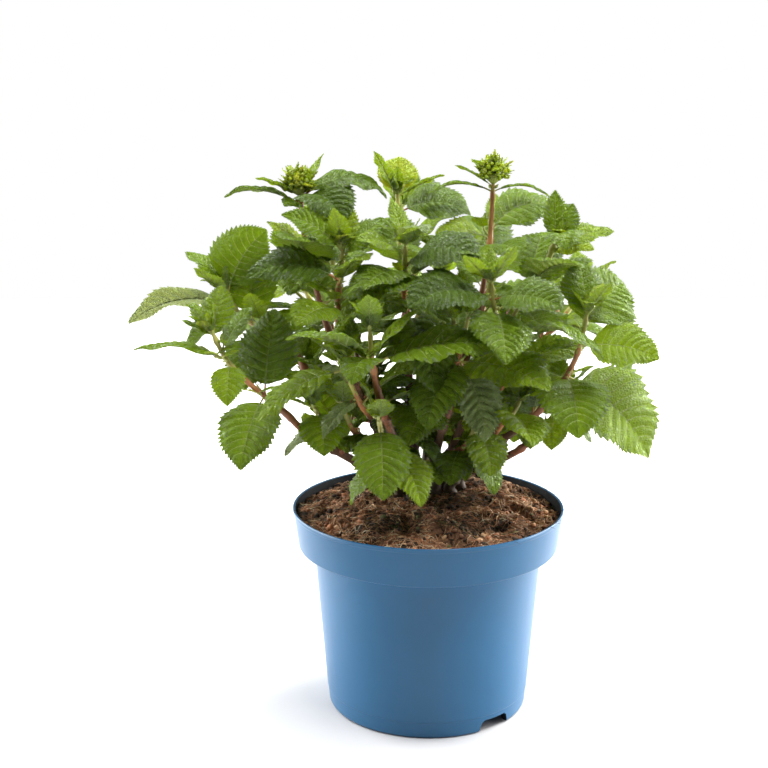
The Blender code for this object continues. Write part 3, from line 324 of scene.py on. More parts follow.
# Leaves that give the crown its outline: the share along the shoot, the leaf's tip in centimetres, how far
# it bends down and how far it rolls to the right of its heading, in degrees, its width to
# its length, and its green. The greens are partly the leaves' own and partly painted light: lighter greens
# on leaves deep in shade, and pale and grey greens as painted sheen.
OUTER_LEAVES = {
    "foliage_left_low": (
        (0.74, (-21.9, -3.0, 28.7), 45, 5, 0.52, "mid"),
        (0.70, (-14.8, -5.5, 25.1), 70, 0, 0.75, "bright"),
        (0.99, (-15.4, -1.6, 33.4), 10, 0, 0.85, "bright"),
        (0.97, (-18.3, -3.2, 31.0), 20, 0, 0.60, "mid"),
        (0.80, (-13.2, -1.0, 31.6), 40, 0, 0.60, "mid"),
        (0.28, (-13.8, -7.0, 20.7), 45, 0, 0.84, "mid"),
        (0.28, (-11.6, -0.4, 31.4), 20, 0, 0.80, "deep"),
    ),
    "foliage_left": (
        (0.90, (-23.6, 5.0, 29.2), 60, 30, 0.62, "pale"),
        (0.99, (-12.6, 5.8, 36.6), 40, 62, 0.95, "mid"),
        (0.92, (-19.3, 7.4, 34.6), 55, 0, 0.55, "mid"),
    ),
    "foliage_bud_left": (
        (0.93, (-15.4, 1.0, 39.6), 60, 8, 0.42, "deep"),
        (0.93, (-6.6, -2.4, 37.9), 120, 10, 0.95, "dark"),
        (0.97, (-3.2, 2.2, 38.8), 95, 15, 0.62, "deep"),
        (0.93, (-11.0, -0.6, 38.9), 60, -30, 0.85, "deep"),
        (0.60, (-12.0, 1.6, 38.0), 20, -30, 0.60, "young"),
        (0.60, (-5.6, -0.2, 34.6), 50, 10, 0.70, "deep"),
        (0.20, (-2.1, -5.5, 31.6), 40, 25, 0.85, "mid"),
    ),
    "foliage_mid_left": (
        (0.97, (-10.8, -3.8, 38.8), 45, -40, 0.60, "mid"),
        (0.99, (-6.2, -1.2, 39.4), 15, 0, 0.62, "young"),
        (0.90, (-3.4, -2.0, 38.0), 50, 30, 0.80, "mid"),
        (0.62, (-4.4, -6.6, 36.0), 70, 10, 0.65, "bright"),
        (0.66, (-13.3, -4.4, 34.2), 75, -30, 0.62, "dark"),
        (0.36, (-9.6, -7.6, 31.4), 50, -20, 0.80, "bright"),
    ),
    "foliage_front_left": (
        (0.45, (4.9, -10.0, 30.3), 40, 14, 0.62, "mid"),
        (0.45, (-5.6, -11.2, 28.0), 110, 0, 0.85, "mid"),
    ),
    "foliage_centre": (
        (0.99, (-0.4, -6.4, 37.8), 110, 0, 0.75, "sheen_grey"),
        (0.90, (-5.4, -5.6, 37.2), 50, -20, 0.70, "bright"),
        (0.78, (3.2, -6.4, 35.8), 90, 25, 0.85, "dark"),
        (0.66, (-4.4, -8.2, 34.0), 60, -10, 0.75, "mid"),
    ),
    "foliage_centre_top": (
        (0.99, (-2.3, 5.4, 42.3), 25, 0, 1.05, "lime"),
        (0.90, (3.3, 4.0, 37.9), 70, 32, 0.95, "deep"),
    ),
    "foliage_front": (
        (0.20, (8.2, -8.8, 27.0), 40, 15, 0.85, "bright"),
        (0.20, (3.8, -7.4, 22.9), 60, 0, 0.62, "sheen_grey"),
        (0.70, (-1.8, -7.0, 29.6), 40, -20, 0.70, "dark"),
    ),
    "foliage_front_right": (
        (0.80, (-1.8, -9.8, 33.1), 60, -20, 0.80, "dark"),
        (0.80, (8.9, -9.2, 32.9), 50, 25, 0.85, "deep"),
        (0.62, (9.3, -5.2, 33.2), 60, 15, 0.55, "mid"),
        (0.97, (3.8, -6.2, 37.0), 20, 0, 0.60, "bright"),
    ),
    "foliage_bud_right": (
        (0.93, (-0.4, 2.0, 39.4), 75, 0, 0.30, "mid"),
        (0.97, (1.9, 3.0, 41.8), 20, 20, 0.35, "bright"),
        (0.93, (9.1, 2.0, 39.4), 75, 0, 0.30, "mid"),
        (0.58, (0.4, 1.0, 36.8), 45, -35, 0.75, "young"),
        (0.62, (10.0, 3.4, 38.2), 100, 30, 0.80, "mid"),
    ),
    "foliage_right_top": (
        (0.92, (13.8, 1.0, 37.4), 40, 25, 0.60, "bright"),
        (0.99, (10.8, 1.4, 39.1), 20, 20, 0.90, "deep"),
        (0.96, (9.8, -3.2, 36.5), 115, 0, 0.95, "mid"),
        (0.86, (11.9, -1.8, 36.0), 40, 15, 0.70, "young"),
        (0.40, (12.6, 2.4, 34.6), 40, 10, 0.55, "mid"),
        (0.30, (9.9, -1.4, 32.8), 40, 0, 0.50, "young"),
    ),
    "foliage_right": (
        (0.99, (11.0, -1.4, 35.2), 25, 10, 1.00, "mid"),
        (0.80, (15.3, 1.4, 33.0), 50, 45, 0.95, "mid"),
        (0.62, (16.5, -5.2, 29.0), 40, 35, 0.85, "bright"),
        (0.62, (8.0, -1.8, 28.4), 40, -20, 0.60, "mid"),
        (0.22, (10.4, -8.2, 23.4), 70, 0, 0.92, "mid"),
        (0.22, (16.3, -3.6, 20.6), 45, 42, 0.90, "bright"),
    ),
    "foliage_right_low": (
        (0.60, (9.3, -1.6, 20.7), 60, 0, 0.85, "bright"),
        (0.50, (12.4, -0.8, 20.8), 60, 10, 0.90, "sheen_grey"),
    ),
    "foliage_left_front": (
        (0.92, (-12.5, -8.2, 24.4), 50, -10, 0.52, "bright"),
        (0.50, (-7.8, -7.2, 23.0), 60, 0, 0.50, "sheen_grey"),
    ),
    "foliage_left_foot": (
        (0.60, (-10.8, -4.0, 20.9), 50, 0, 0.45, "pale"),
        (0.90, (-7.8, -5.4, 21.3), 90, 0, 0.95, "mid"),
    ),
    "foliage_front_foot": (
        (0.92, (-3.5, -10.4, 19.5), 70, 0, 0.78, "mid"),
        (0.55, (-0.8, -9.4, 18.7), 70, 0, 0.70, "bright"),
        (0.30, (-5.9, -5.8, 17.7), 60, 0, 0.80, "mid"),
    ),
    "foliage_centre_foot": (
        (0.86, (4.5, -4.2, 19.4), 80, 0, 0.95, "bright"),
        (0.62, (6.2, -2.6, 18.4), 60, 0, 0.90, "mid"),
        (0.97, (2.6, -4.6, 23.0), 50, 0, 0.65, "young"),
        (0.40, (1.5, -4.2, 18.7), 80, 0, 0.95, "deep"),
    ),
}

# ---------------------------------------------------------------------------------------------------------
# Sizes of a leaf's detail, as shares of its length where nothing else is said

LINE_STEPS = 72
BLADE_FOOT_LEAN = 0.78
BLADE_FOOT_ROUNDNESS = 0.62
BLADE_WAIST = (0.30, 5)
BLADE_POINT = (0.40, 14)
VEIN_CROWDING = 0.95
VEIN_CURVE = 1.15
VEIN_NARROWING = 0.85
VEIN_SINK = 0.0030
VEINS = 8
TEETH_PER_VEIN = 2
FIRST_VEIN = 0.05
LAST_VEIN = 0.86
VEIN_SWEEP = 0.20
TOOTH_DEPTH = 0.056
TOOTH_LEAN = 0.034
TOOTH_FORWARD = 0.3
TOOTH_OUTWARD = 0.4
QUILT = 0.0330
QUILT_SPREAD = (0.7, 1.25)
QUILT_LENGTHWISE = 0.8
QUILT_ACROSS = 0.7
RIPPLE = 0.032
RIPPLE_CURVE = 2.2
WAVES = (1.6, 2.8)
FULL_TURN = (0, 6.3)
FOLD_SPREAD = (0.6, 1.35)
FOLD_EASE = 0.35
CURL = (0.02, 0.20)
TWIST = 9
VEIN_HALF_WIDTH = 0.0084
MIDRIB_HALF_WIDTH = 0.0120
MIDRIB_TAPER = 1.1
MIDRIB_COLUMN = 0.04
MIDRIB_EDGE = 0.05
VEIN_EDGE = 0.95
MARGIN = 0.99
BLADE_THICKNESS = 0.0045
UNDER_RIDGE = 0.007
BLADE_FOOT = 0.004
BLADE_END = 0.995
STALK_RINGS = 7
RIDGE_RINGS = 8
STALK_SIDES = 6
RIDGE_END = 0.93
RIDGE_CURVE = 0.8
RIDGE_SINK = (0.75, 0.0001)
CLASP = (0.75, 0.30)
GROOVE = (0.28, 0.25)
LEAST_STALK = 0.35
MOST_STALK = 1.15
# A blade's veins, teeth to a vein and columns of faces, by the leaf's least length
BLADE_GRIDS = (
    (0.045, VEINS, TEETH_PER_VEIN, (0.26, 0.56, 0.85, 1.0)),
    (0.022, 6, 2, (0.50, 1.0)),
    (0.0, 4, 1, (0.50, 1.0)),
)

# Base colours of the leaves, youngest first, then of their other parts and of the stems. The pale and grey
# greens are painted light: leaves whitened by the sheen they catch, the pale ones also by light from
# behind.
GREENS = {
    "lime": (0.370, 0.560, 0.060),
    "young": (0.315, 0.445, 0.028),
    "bright": (0.255, 0.376, 0.020),
    "mid": (0.190, 0.302, 0.017),
    "deep": (0.146, 0.238, 0.017),
    "dark": (0.104, 0.176, 0.015),
    # pale and grey: painted sheen in place of the highlight on glossy leaves, pale also painted backlight
    "pale": (0.330, 0.430, 0.190),
    "sheen_grey": (0.270, 0.360, 0.135),
}
UNDER_GREENS = {
    "lime": (0.38, 0.48, 0.09),
    "young": (0.30, 0.40, 0.09),
    "bright": (0.25, 0.34, 0.09),
    "mid": (0.23, 0.31, 0.11),
    "deep": (0.20, 0.27, 0.11),
    "dark": (0.17, 0.235, 0.10),
    # Undersides of the pale and grey greens, which are painted sheen
    "pale": (0.34, 0.43, 0.20),
    "sheen_grey": (0.26, 0.33, 0.15),
}
VEIN_GREENS = {
    "lime": (0.56, 0.68, 0.14),
    "young": (0.52, 0.65, 0.15),
    "bright": (0.47, 0.60, 0.15),
    "mid": (0.39, 0.52, 0.13),
    "deep": (0.275, 0.39, 0.085),
    "dark": (0.165, 0.26, 0.060),
    # Veins of the pale and grey greens, which are painted sheen
    "pale": (0.58, 0.64, 0.34),
    "sheen_grey": (0.43, 0.54, 0.23),
}
STEM_COLOURS = {
    "old_bark": (0.080, 0.052, 0.034),
    "bark": (0.140, 0.072, 0.038),
    "red_bark": (0.270, 0.098, 0.044),
    "red_stem": (0.430, 0.180, 0.068),
    "green_stem": (0.400, 0.370, 0.090),
    "pale_stem": (0.440, 0.480, 0.140),
}

STALK_LOOKS = {
    "pale": "pale_stem",
    "sheen_grey": "green_stem",
    "lime": "pale_stem",
    "young": "pale_stem",
    "bright": "green_stem",
    "mid": "green_stem",
    "deep": "red_stem",
    "dark": "red_stem",
}
UNDER_VEIN = (0.34, 0.42, 0.18)

# Each limb's looks in turn, with the share of its length that each reaches
PALE_ZONES = ((1.0, "pale_stem"),)
BOUGH_ZONES = ((0.30, "old_bark"), (0.72, "bark"), (1.0, "red_bark"))
SHOOT_ZONES = ((0.30, "red_bark"), (0.62, "red_stem"), (1.0, "green_stem"))
TWIG_ZONES = ((0.4, "red_stem"), (1.0, "green_stem"))
FLOWER_ZONES = ((0.35, "red_bark"), (0.94, "red_stem"), (1.0, "green_stem"))
ZONE_SPECKLE = 0.045
WOODY = ("old_bark", "bark")
PEATS = {
    "peat_dark": (0.040, 0.026, 0.016),
    "peat_brown": (0.185, 0.095, 0.050),
    "fibre_red": (0.420, 0.185, 0.090),
    "fibre_brown": (0.290, 0.155, 0.080),
    "fibre_tan": (0.600, 0.370, 0.205),
    "fibre_pale": (0.780, 0.620, 0.420),
    "moss": (0.110, 0.115, 0.040),
}
POT_BLUE = (0.0115, 0.093, 0.201)
POT_BLACK = (0.006, 0.007, 0.009)

# ---------------------------------------------------------------------------------------------------------
# Sizes of the bark and the buds

BOUGH_SIDES = 16
STEM_SIDES = 12
TWIG_SIDES = 8
BARK_STEP = 0.0015
TWIG_STEP = 0.0018
BOUGH_ROUGHNESS = 0.10
STEM_ROUGHNESS = 0.045
TWIG_ROUGHNESS = 0.06
BOUGH_SUNK = Vector((0.0, 0.0, 0.004))
BOUGH_NODES = 5
FIRST_BOUGH_NODE = 0.018
BOUGH_NODE_STEP = 0.026
BOUGH_NODE_SPREAD = 0.003
SHOOT_SUNK = 0.004
SHOOT_SUNK_SHARE = 0.4
SHOOT_FLARE = 1.25
PATH_STEPS = 8
LEAST_RINGS = 6
NODE_SWELLING = (0.30, 0.0022)
NODE_GROOVE = (0.10, 0.0034, 0.0007)
RIDGE_COUNTS = (2, 3, 5, 8)
RIDGE_SWAY = 70
COARSE_GRAIN = 420
COARSE_TURNS = 2.2
COARSE_SHARE = 0.6
DOT_SPACING = 0.0035
DOT_HEIGHT = 0.00022
DOT_LENGTH = 0.0009
DOT_WIDTH = 0.0004

AXIL_SHOOTS = 0.34
AXIL_LEAN = 0.8
AXIL_LIFT = 0.0026
AXIL_BUD_RADII = (0.0009, 0.0015)
AXIL_BUD_LENGTHS = (0.0035, 0.006)
AXIL_TWIG_LENGTHS = (0.003, 0.008)
AXIL_TWIG_RADII = (0.0009, 0.0008, 0.0007)
AXIL_LEAF_RISE = (30, 62)
AXIL_LEAF_LENGTHS = (0.010, 0.021)
AXIL_LEAF_DROOP = (20, 60)
AXIL_LEAF_WIDTH = 0.62
AXIL_TINTS = ("young", "bright", "young", "lime")

# The pairs of young leaves on a shoot's tip: length, lean in degrees, green
CROWN_RANKS = ((0.019, 30, "bright"), (0.013, 18, "young"), (0.008, 8, "young"))
CROWN_TURN = 0.2
CROWN_STEP = 0.0015
CROWN_SIZES = (0.85, 1.15)
CROWN_DROOP = (-20, 25)
CROWN_WIDTH = 0.46
CROWN_BUD = (0.0016, 0.008)
BUD_SUNK = 0.001

HEAD_BUDS = 70
HEAD_LIFT = 0.0075
HEAD_SPAN = 1.35
HEAD_REACH = (0.62, 0.88)
HEAD_BUD_RADII = (0.0013, 0.0021)
HEAD_BUD_LENGTHS = (0.0030, 0.0048)
HEAD_LOOKS = ("under_lime", "leaf_lime", "leaf_young", "leaf_lime")
HEAD_CORE = (0.0062, 0.014)
HEAD_BRACTS = 58
BRACT_TURN = 0.2
BRACT_LEAN = (8, 74)
BRACT_LIFT = (0.000, 0.005)
BRACT_LENGTHS = (0.011, 0.0195)
BRACT_DROOP = 30
BRACT_ROLL = 0.5
BRACT_WIDTHS = (0.26, 0.42)
BRACT_TINTS = ("lime", "lime", "young")

# ---------------------------------------------------------------------------------------------------------
# Floor, lights and camera

FLOOR_HALF = 1.9
# The floor runs from darker grey within FLOOR_NEAR of the middle to near white at FLOOR_FAR: painted light
# that dims its bounce onto the pot and whitens the far floor, which the lamps light less.
FLOOR_NEAR = 0.35
FLOOR_FAR = 1.4
CARD_SIZE = (4.4, 2.7)
CARD_PLACE = (0.0, -1.95, 0.75)
LIGHT_AIM = (0.0, 0.0, 0.22)
LIGHTS = (
    ("left_softbox", (-1.25, 0.65, 0.75), (1.2, 1.4), 56.0),
    ("right_softbox", (1.25, 0.65, 0.75), (1.2, 1.4), 74.0),
    ("back_softbox", (0.0, 0.9, 1.9), (1.5, 0.7), 50.0),
    ("front_softbox", (0.35, -0.6, 1.95), (0.7, 0.5), 36.0),
)
# Two low lights behind honeycomb grids, which reach the pot's sides and not the crown
GRID_LIGHTS = (
    ("left_strip", (-0.74, -0.04, 0.06), (0.16, 0.16), 0.20),
    ("right_strip", (0.74, -0.04, 0.06), (0.16, 0.16), 0.27),
)
GRID_AIM = (0.0, 0.0, 0.06)
GRID_SPREAD = math.radians(34)
WORLD_STRENGTH = 0.37
FRAME_PIXELS = 768.0
FOCAL_PIXELS = 1432.7
CAMERA_PLACE = (-0.0342, -1.0647, 0.5004)
CAMERA_DOWN = 12.98


# ---------------------------------------------------------------------------------------------------------
# The rule that grows the plant


def bezier(start, first, second, end, share):
    rest = 1 - share
    return (
        start * rest**3 + first * (3 * rest**2 * share) + second * (3 * rest * share**2) + end * share**3
    )


def arc_points(start, leaving, end, arriving, count):
    """Points on a smooth limb that leaves and arrives in the given directions."""
    reach = (end - start).length
    first = start + leaving.normalized() * reach * LIMB_REACH
    second = end - arriving.normalized() * reach * LIMB_REACH
    return [bezier(start, first, second, end, step / (count - 1)) for step in range(count)]


def along(points, share):
    """The place and direction at a share of a limb's length."""
    spans = [(b - a).length for a, b in zip(points, points[1:])]
    left = share * sum(spans)
    for a, b, span in zip(points, points[1:], spans):
        if left <= span or b is points[-1]:
            return a + (b - a) * (left / span), (b - a).normalized()
        left -= span
    return points[-1], (points[-1] - points[-2]).normalized()


def tapered(foot, tip, count):
    return [foot + (tip - foot) * step / (count - 1) for step in range(count)]


def bough_axis(name):
    (foot_x, foot_y), tip = BOUGHS[name]
    foot = Vector((foot_x * CM, foot_y * CM, SOIL_CROWN + CLEAR))
    end = Vector(tip) * CM
    outward = Vector((end.x - foot.x, end.y - foot.y, 0.0))
    leaving = outward * BOUGH_LEAN / (end.z - foot.z) + UP
    arriving = (end - foot).normalized() + UP * BOUGH_LIFT
    points = arc_points(foot, leaving, end, arriving, BOUGH_POINTS)
    # The second point stands straight above the foot, so that the cut at the soil is level.
    points[1] = Vector((foot.x, foot.y, foot.z + STRAIGHT_FOOT))
    radii = tapered(BOUGH_FOOT_RADIUS, BOUGH_TIP_RADIUS, len(points))
    radii[0] *= ROOT_FLARE
    return points, radii


def shoot_axis(name):
    """A shoot goes on from its bough's tip, or leaves the bough's side, one gap clear of it."""
    bough, share, tip, _, _ = SHOOTS[name]
    points, radii = bough_axis(bough)
    end = Vector(tip) * CM
    place, direction = along(points, share)
    if share >= 1.0:
        start = points[-1] + direction * CLEAR
        leaving = direction
    else:
        across = (end - place) - direction * (end - place).dot(direction)
        across.normalize()
        radius = radii[0] + (radii[-1] - radii[0]) * share
        start = place + across * (radius + CLEAR)
        leaving = across
    arriving = (end - start).normalized() * SHOOT_LEAN + UP * SHOOT_LIFT
    made = arc_points(start, leaving, end, arriving, SHOOT_POINTS)
    # The shoot leaves square to the limb it grows from, so that the gap is even all round.
    made[1] = start + leaving.normalized() * STRAIGHT_START
    return made, tapered(SHOOT_FOOT_RADIUS, SHOOT_TIP_RADIUS, len(made))


def leaf_width(share):
    """Half width of a plain blade at a share of its length, where 1 is the widest."""
    if share <= 0.0 or share >= 1.0:
        return 0.0
    body = math.sin(math.pi * share**BLADE_LEAN) ** BLADE_ROUNDNESS
    return body * (1.0 - BLADE_TAPER * share**3)


class Leaf:
    """One leaf: a stalk and a blade along a line that sinks from its first rise towards the tip."""

    def __init__(self, root, heading, rise, length, droop, roll=0.0, width=LEAF_WIDTH):
        self.root = root
        self.heading = heading
        self.rise = rise
        self.length = length
        self.droop = droop
        self.roll = roll
        self.width = width
        self.stalk = length * PETIOLE_SHARE
        self.rings = RULE_RINGS
        self.half_width = length * width / 2

    @classmethod
    def reaching(cls, root, tip, droop, roll, width):
        """The leaf whose tip is at a place."""
        unit = cls(Vector((0, 0, 0)), 0.0, 0.0, 1.0 / (1.0 + PETIOLE_SHARE), droop).point(1.0)
        span = tip - root
        rise = math.asin(span.z / span.length) - math.atan2(unit.z, unit.x)
        length = span.length / unit.length / (1.0 + PETIOLE_SHARE)
        leaf = cls(root, math.atan2(span.y, span.x), rise, length, droop, roll, width)
        leaf.rings = OUTER_RINGS
        return leaf

    def turned(self, heading, rise, size):
        """The same leaf, aimed a little differently."""
        leaf = Leaf(
            self.root,
            self.heading + math.radians(heading),
            self.rise + math.radians(rise),
            self.length * size,
            self.droop,
            self.roll,
            self.width,
        )
        leaf.rings = self.rings
        return leaf

    def frame(self, distance):
        """Direction, side and upper normal at a distance from the root."""
        share = max(0.0, distance) / (self.stalk + self.length)
        rise = self.rise - self.droop * share**DROOP_CURVE
        flat = Vector((math.cos(self.heading), math.sin(self.heading), 0.0))
        direction = flat * math.cos(rise) + Vector((0, 0, math.sin(rise)))
        normal = Vector((0, 0, math.cos(rise))) - flat * math.sin(rise)
        side = normal.cross(direction)
        roll = self.roll * min(1.0, share * ROLL_START)
        return (
            direction,
            side * math.cos(roll) + normal * math.sin(roll),
            normal * math.cos(roll) - side * math.sin(roll),
        )

    def point(self, distance):
        """The centre line's place, summed in short steps."""
        place = self.root.copy()
        for step in range(CENTRE_STEPS):
            middle = distance * (step + 0.5) / CENTRE_STEPS
            place += self.frame(middle)[0] * (distance / CENTRE_STEPS)
        return place

    def section(self, distance, half_width, half_depth):
        """Left edge, top, right edge and bottom. The edges of the blade stand a little above its middle."""
        _, side, normal = self.frame(distance)
        place = self.point(distance)
        lift = normal * half_width * math.tan(LEAF_FOLD)
        return [
            place - side * half_width + lift,
            place + normal * half_depth,
            place + side * half_width + lift,
            place - normal * half_depth,
        ]

    def sections(self, start, extra=0.0):
        """The leaf's outline as sections from start to just short of the tip, and the tip."""
        thick = self.length * LEAF_THICKNESS / 2
        found = [(start, PETIOLE_RADIUS + extra, PETIOLE_RADIUS + extra)]
        for share in self.rings:
            width = max(PETIOLE_RADIUS, self.half_width * leaf_width(share))
            depth = thick * (FOOT_DEPTH - DEPTH_LOSS * share)
            found.append((self.stalk + self.length * share, width + extra, depth + extra))
        return [self.section(*values) for values in found], self.point(self.stalk + self.length)


def leaf_mesh(leaf, start, extra=0.0):
    """Vertices and triangles of a leaf, as one closed loft of four-sided sections.

    The upper and the lower side are split along the same diagonals, so that they never cross.
    """
    sections, tip = leaf.sections(start, extra)
    vertices = [corner for section in sections for corner in section] + [tip]
    faces = [(0, 1, 2), (0, 2, 3)]
    for ring in range(len(sections) - 1):
        for corner in range(4):
            a = ring * 4 + corner
            b = ring * 4 + (corner + 1) % 4
            if corner % 2:
                faces += [(a, a + 4, b + 4), (a, b + 4, b)]
            else:
                faces += [(a, a + 4, b), (b, a + 4, b + 4)]
    last = (len(sections) - 1) * 4
    faces += [(last + corner, len(vertices) - 1, last + (corner + 1) % 4) for corner in range(4)]
    return vertices, faces


class Space:
    """What the plant already fills, so that a new leaf can be kept clear of it.

    A shoot's bud and the feet of its leaves stand under its name. Its stem, twigs and leaves stand
    under its name with OWN: they are passed over only where a foot leaves the stem.
    """

    def __init__(self):
        self.solids = []

    def add(self, vertices, faces, owner=None):
        """Fill some space, in an owner's name."""
        low = Vector(map(min, *vertices))
        high = Vector(map(max, *vertices))
        self.solids.append((low, high, BVHTree.FromPolygons(vertices, faces), owner))

    def free(self, vertices, faces, owners=()):
        """Whether some space is empty, but for what the given owners fill."""
        low = Vector(map(min, *vertices))
        high = Vector(map(max, *vertices))
        tree = None
        for other_low, other_high, other, other_owner in self.solids:
            if other_owner in owners:
                continue
            if any(low[i] > other_high[i] or high[i] < other_low[i] for i in range(3)):
                continue
            tree = tree or BVHTree.FromPolygons(vertices, faces)
            if tree.overlap(other):
                return False
        return True


def limb_mesh(points, radii, sides=6):
    """A plain closed tube, only for keeping leaves clear of the limbs."""
    vertices, faces = [], []
    for number, (place, radius) in enumerate(zip(points, radii)):
        before, after = points[max(0, number - 1)], points[min(len(points) - 1, number + 1)]
        direction = (after - before).normalized()
        across = direction.orthogonal().normalized()
        other = direction.cross(across)
        for side in range(sides):
            angle = 2 * math.pi * side / sides
            vertices.append(place + (across * math.cos(angle) + other * math.sin(angle)) * radius)
    for ring in range(len(points) - 1):
        for side in range(sides):
            a = ring * sides + side
            b = ring * sides + (side + 1) % sides
            faces.append((a, b, b + sides, a + sides))
    faces.append(tuple(range(sides)))
    faces.append(tuple(range(len(vertices) - sides, len(vertices))))
    return vertices, faces


def bud_size(name):
    """Radius and length of the bud on a shoot's tip."""
    if name in FLOWER_SHOOTS:
        return FLOWER_BUD_RADIUS, FLOWER_BUD_LENGTH
    return BUD_RADIUS, BUD_LENGTH


def in_crown(place):
    """Whether a place is in the crown: an ellipsoid, open underneath where the soil shows."""
    scaled = [(place[i] - CROWN_CENTRE[i]) / CROWN_REACH[i] for i in range(3)]
    out = max(0.0, math.hypot(place.x, place.y) - UNDERSIDE_RADIUS)
    return sum(value * value for value in scaled) <= 1.0 and place.z > UNDERSIDE + UNDERSIDE_SLOPE * out


def place_leaf(leaf, space, stem, radius, owner, bounded=True):
    """The first aim of the leaf that keeps clear of the plant and inside the crown, or None."""
    for size in SIZES:
        for heading, rise in AIMS:
            tried = leaf.turned(heading, rise, size)
            slant = tried.frame(0.0)[0].cross(stem).length
            start = min(LONGEST_START, (radius + LEAF_GAP) / max(slant, LEAST_SLANT))
            if bounded and not in_crown(tried.point(tried.stalk + tried.length)):
                continue
            whole = leaf_mesh(tried, 0.0, extra=CLEAR)
            blade = leaf_mesh(tried, start, extra=CLEAR)
            if min(v.z for v in whole[0]) < SOIL_CROWN + LEAF_OFF_SOIL:
                continue
            if space.free(*blade, (owner,)) and space.free(*whole, (owner, owner + OWN)):
                space.add(*leaf_mesh(tried, start), owner + OWN)
                space.add(*leaf_mesh(tried, 0.0), owner)
                return tried
    return None


def leaf_pair(place, direction, turn, rank, length, radius, space, owner, dice):
    """The two opposite leaves at a node."""
    size, spread, droop, width = RANKS[min(rank, len(RANKS) - 1)]
    across = Vector((math.cos(turn), math.sin(turn), 0.0))
    across = (across - direction * across.dot(direction)).normalized()
    found = []
    for way in (1, -1):
        angle = math.radians(spread + dice.uniform(-AIM_SPREAD, AIM_SPREAD))
        aim = direction * math.cos(angle) + across * way * math.sin(angle)
        leaf = Leaf(
            place,
            math.atan2(aim.y, aim.x),
            math.asin(max(-1.0, min(1.0, aim.z))),
            length * size * dice.uniform(*SIZE_SPREAD),
            math.radians(droop * dice.uniform(*DROOP_SPREAD)),
            roll=math.radians(dice.uniform(-ROLL_SPREAD, ROLL_SPREAD)),
            width=width,
        )
        placed = place_leaf(leaf, space, direction, radius, owner)
        if placed:
            found.append(placed)
    return found


def shaded(leaves, rank, shades):
    """The leaves, each with one of its rank's greens."""
    greens = RANK_TINTS[min(rank, len(RANK_TINTS) - 1)]
    return [(leaf, shades.choice(greens)) for leaf in leaves]


def outer_leaves(name, space):
    """The shoot's leaves that reach for the crown's outline."""
    points, radii = shoot_axis(name)
    found = []
    for share, tip, droop, roll, width, tint in OUTER_LEAVES.get(name, ()):
        place, direction = along(points, share)
        radius = radii[0] + (radii[-1] - radii[0]) * share
        leaf = Leaf.reaching(place, Vector(tip) * CM, math.radians(droop), math.radians(roll), width)
        placed = place_leaf(leaf, space, direction, radius, name, bounded=False)
        if placed:
            found.append((placed, tint))
    return found


def shoot_node(points, radii, pairs, rank):
    """Where a pair of leaves stands on a shoot: its place, the stem's direction and its radius there."""
    lowest = LOW_NODE if pairs > 2 else SHORT_LOW_NODE
    share = TOP_NODE - (TOP_NODE - lowest) * rank / max(1, pairs - 1)
    place, direction = along(points, share)
    return place, direction, radii[0] + (radii[-1] - radii[0]) * share


def grow_twig(place, direction, side, reach, name, space):
    """A short side twig and the way it points, or None where it would touch or leave the crown."""
    across = Vector((math.cos(side), math.sin(side), 0.0))
    aim = (direction * TWIG_LEAN + across + UP * TWIG_LIFT).normalized()
    twig = [place, place + aim * TWIG_START, place + aim * reach]
    foot = limb_mesh(twig[:2], [TWIG_RADIUS, TWIG_RADIUS])
    body = limb_mesh(twig[1:], [TWIG_RADIUS, TWIG_RADIUS])
    clear = space.free(*foot, (name, name + OWN)) and space.free(*body, (name,))
    if not clear or not in_crown(twig[-1]):
        return None
    space.add(*limb_mesh(twig, [TWIG_RADIUS] * len(twig)), name + OWN)
    return twig, aim


def grow_shoot(name, space):
    """Everything that one shoot carries: its axis, its side twigs and its leaves."""
    dice = random.Random(f"{SEED} {name}")
    shades = random.Random(f"{SEED} {name} greens")
    _, _, _, pairs, turn = SHOOTS[name]
    points, radii = shoot_axis(name)
    heading = math.radians(turn) - QUARTER_TURN
    leaves, twigs = [], []
    reach = sum((b - a).length for a, b in zip(points, points[1:]))
    size = LEAF_LENGTH * (SHORT_SHOOT_LEAF + (1.0 - SHORT_SHOOT_LEAF) * min(1.0, reach / LONG_SHOOT))
    for rank in range(pairs):
        place, direction, radius = shoot_node(points, radii, pairs, rank)
        turned = heading + rank * QUARTER_TURN
        pair = leaf_pair(place, direction, turned, rank, size, radius, space, name, dice)
        leaves += shaded(pair, rank, shades)
    for rank in range(2, pairs):
        place, direction, _ = shoot_node(points, radii, pairs, rank)
        side = heading + rank * QUARTER_TURN + (0 if dice.random() < 0.5 else HALF_TURN)
        found = grow_twig(place, direction, side, dice.uniform(*TWIG_REACH), name, space)
        if not found:
            continue
        twig, aim = found
        twigs.append((twig, TWIG_RADII))
        across = side + QUARTER_TURN
        root = twig[-1] - aim * TWIG_LEAF_SINK
        pair = leaf_pair(root, aim, across, 0, TWIG_LEAF_LENGTH, TWIG_RADIUS, space, name, dice)
        leaves += shaded(pair, 0, shades)
    return points, radii, twigs, leaves


def grow_plant():
    """Boughs first, then the shoots' stems, then leaves shoot by shoot, each clear of all before it."""
    space = Space()
    for name in BOUGHS:
        space.add(*limb_mesh(*bough_axis(name)))
    for name in SHOOTS:
        points, radii = shoot_axis(name)
        space.add(*limb_mesh(points, radii), name + OWN)
        direction = (points[-1] - points[-2]).normalized()
        radius, length = bud_size(name)
        space.add(*limb_mesh([points[-1], points[-1] + direction * length], [radius, radius]), name)
    outer = {name: outer_leaves(name, space) for name in SHOOTS}
    grown = {}
    for name in SHOOTS:
        points, radii, twigs, leaves = grow_shoot(name, space)
        grown[name] = (points, radii, twigs, outer[name] + leaves)
    return grown, {name: grow_sprays(name, space) for name in BOUGHS}


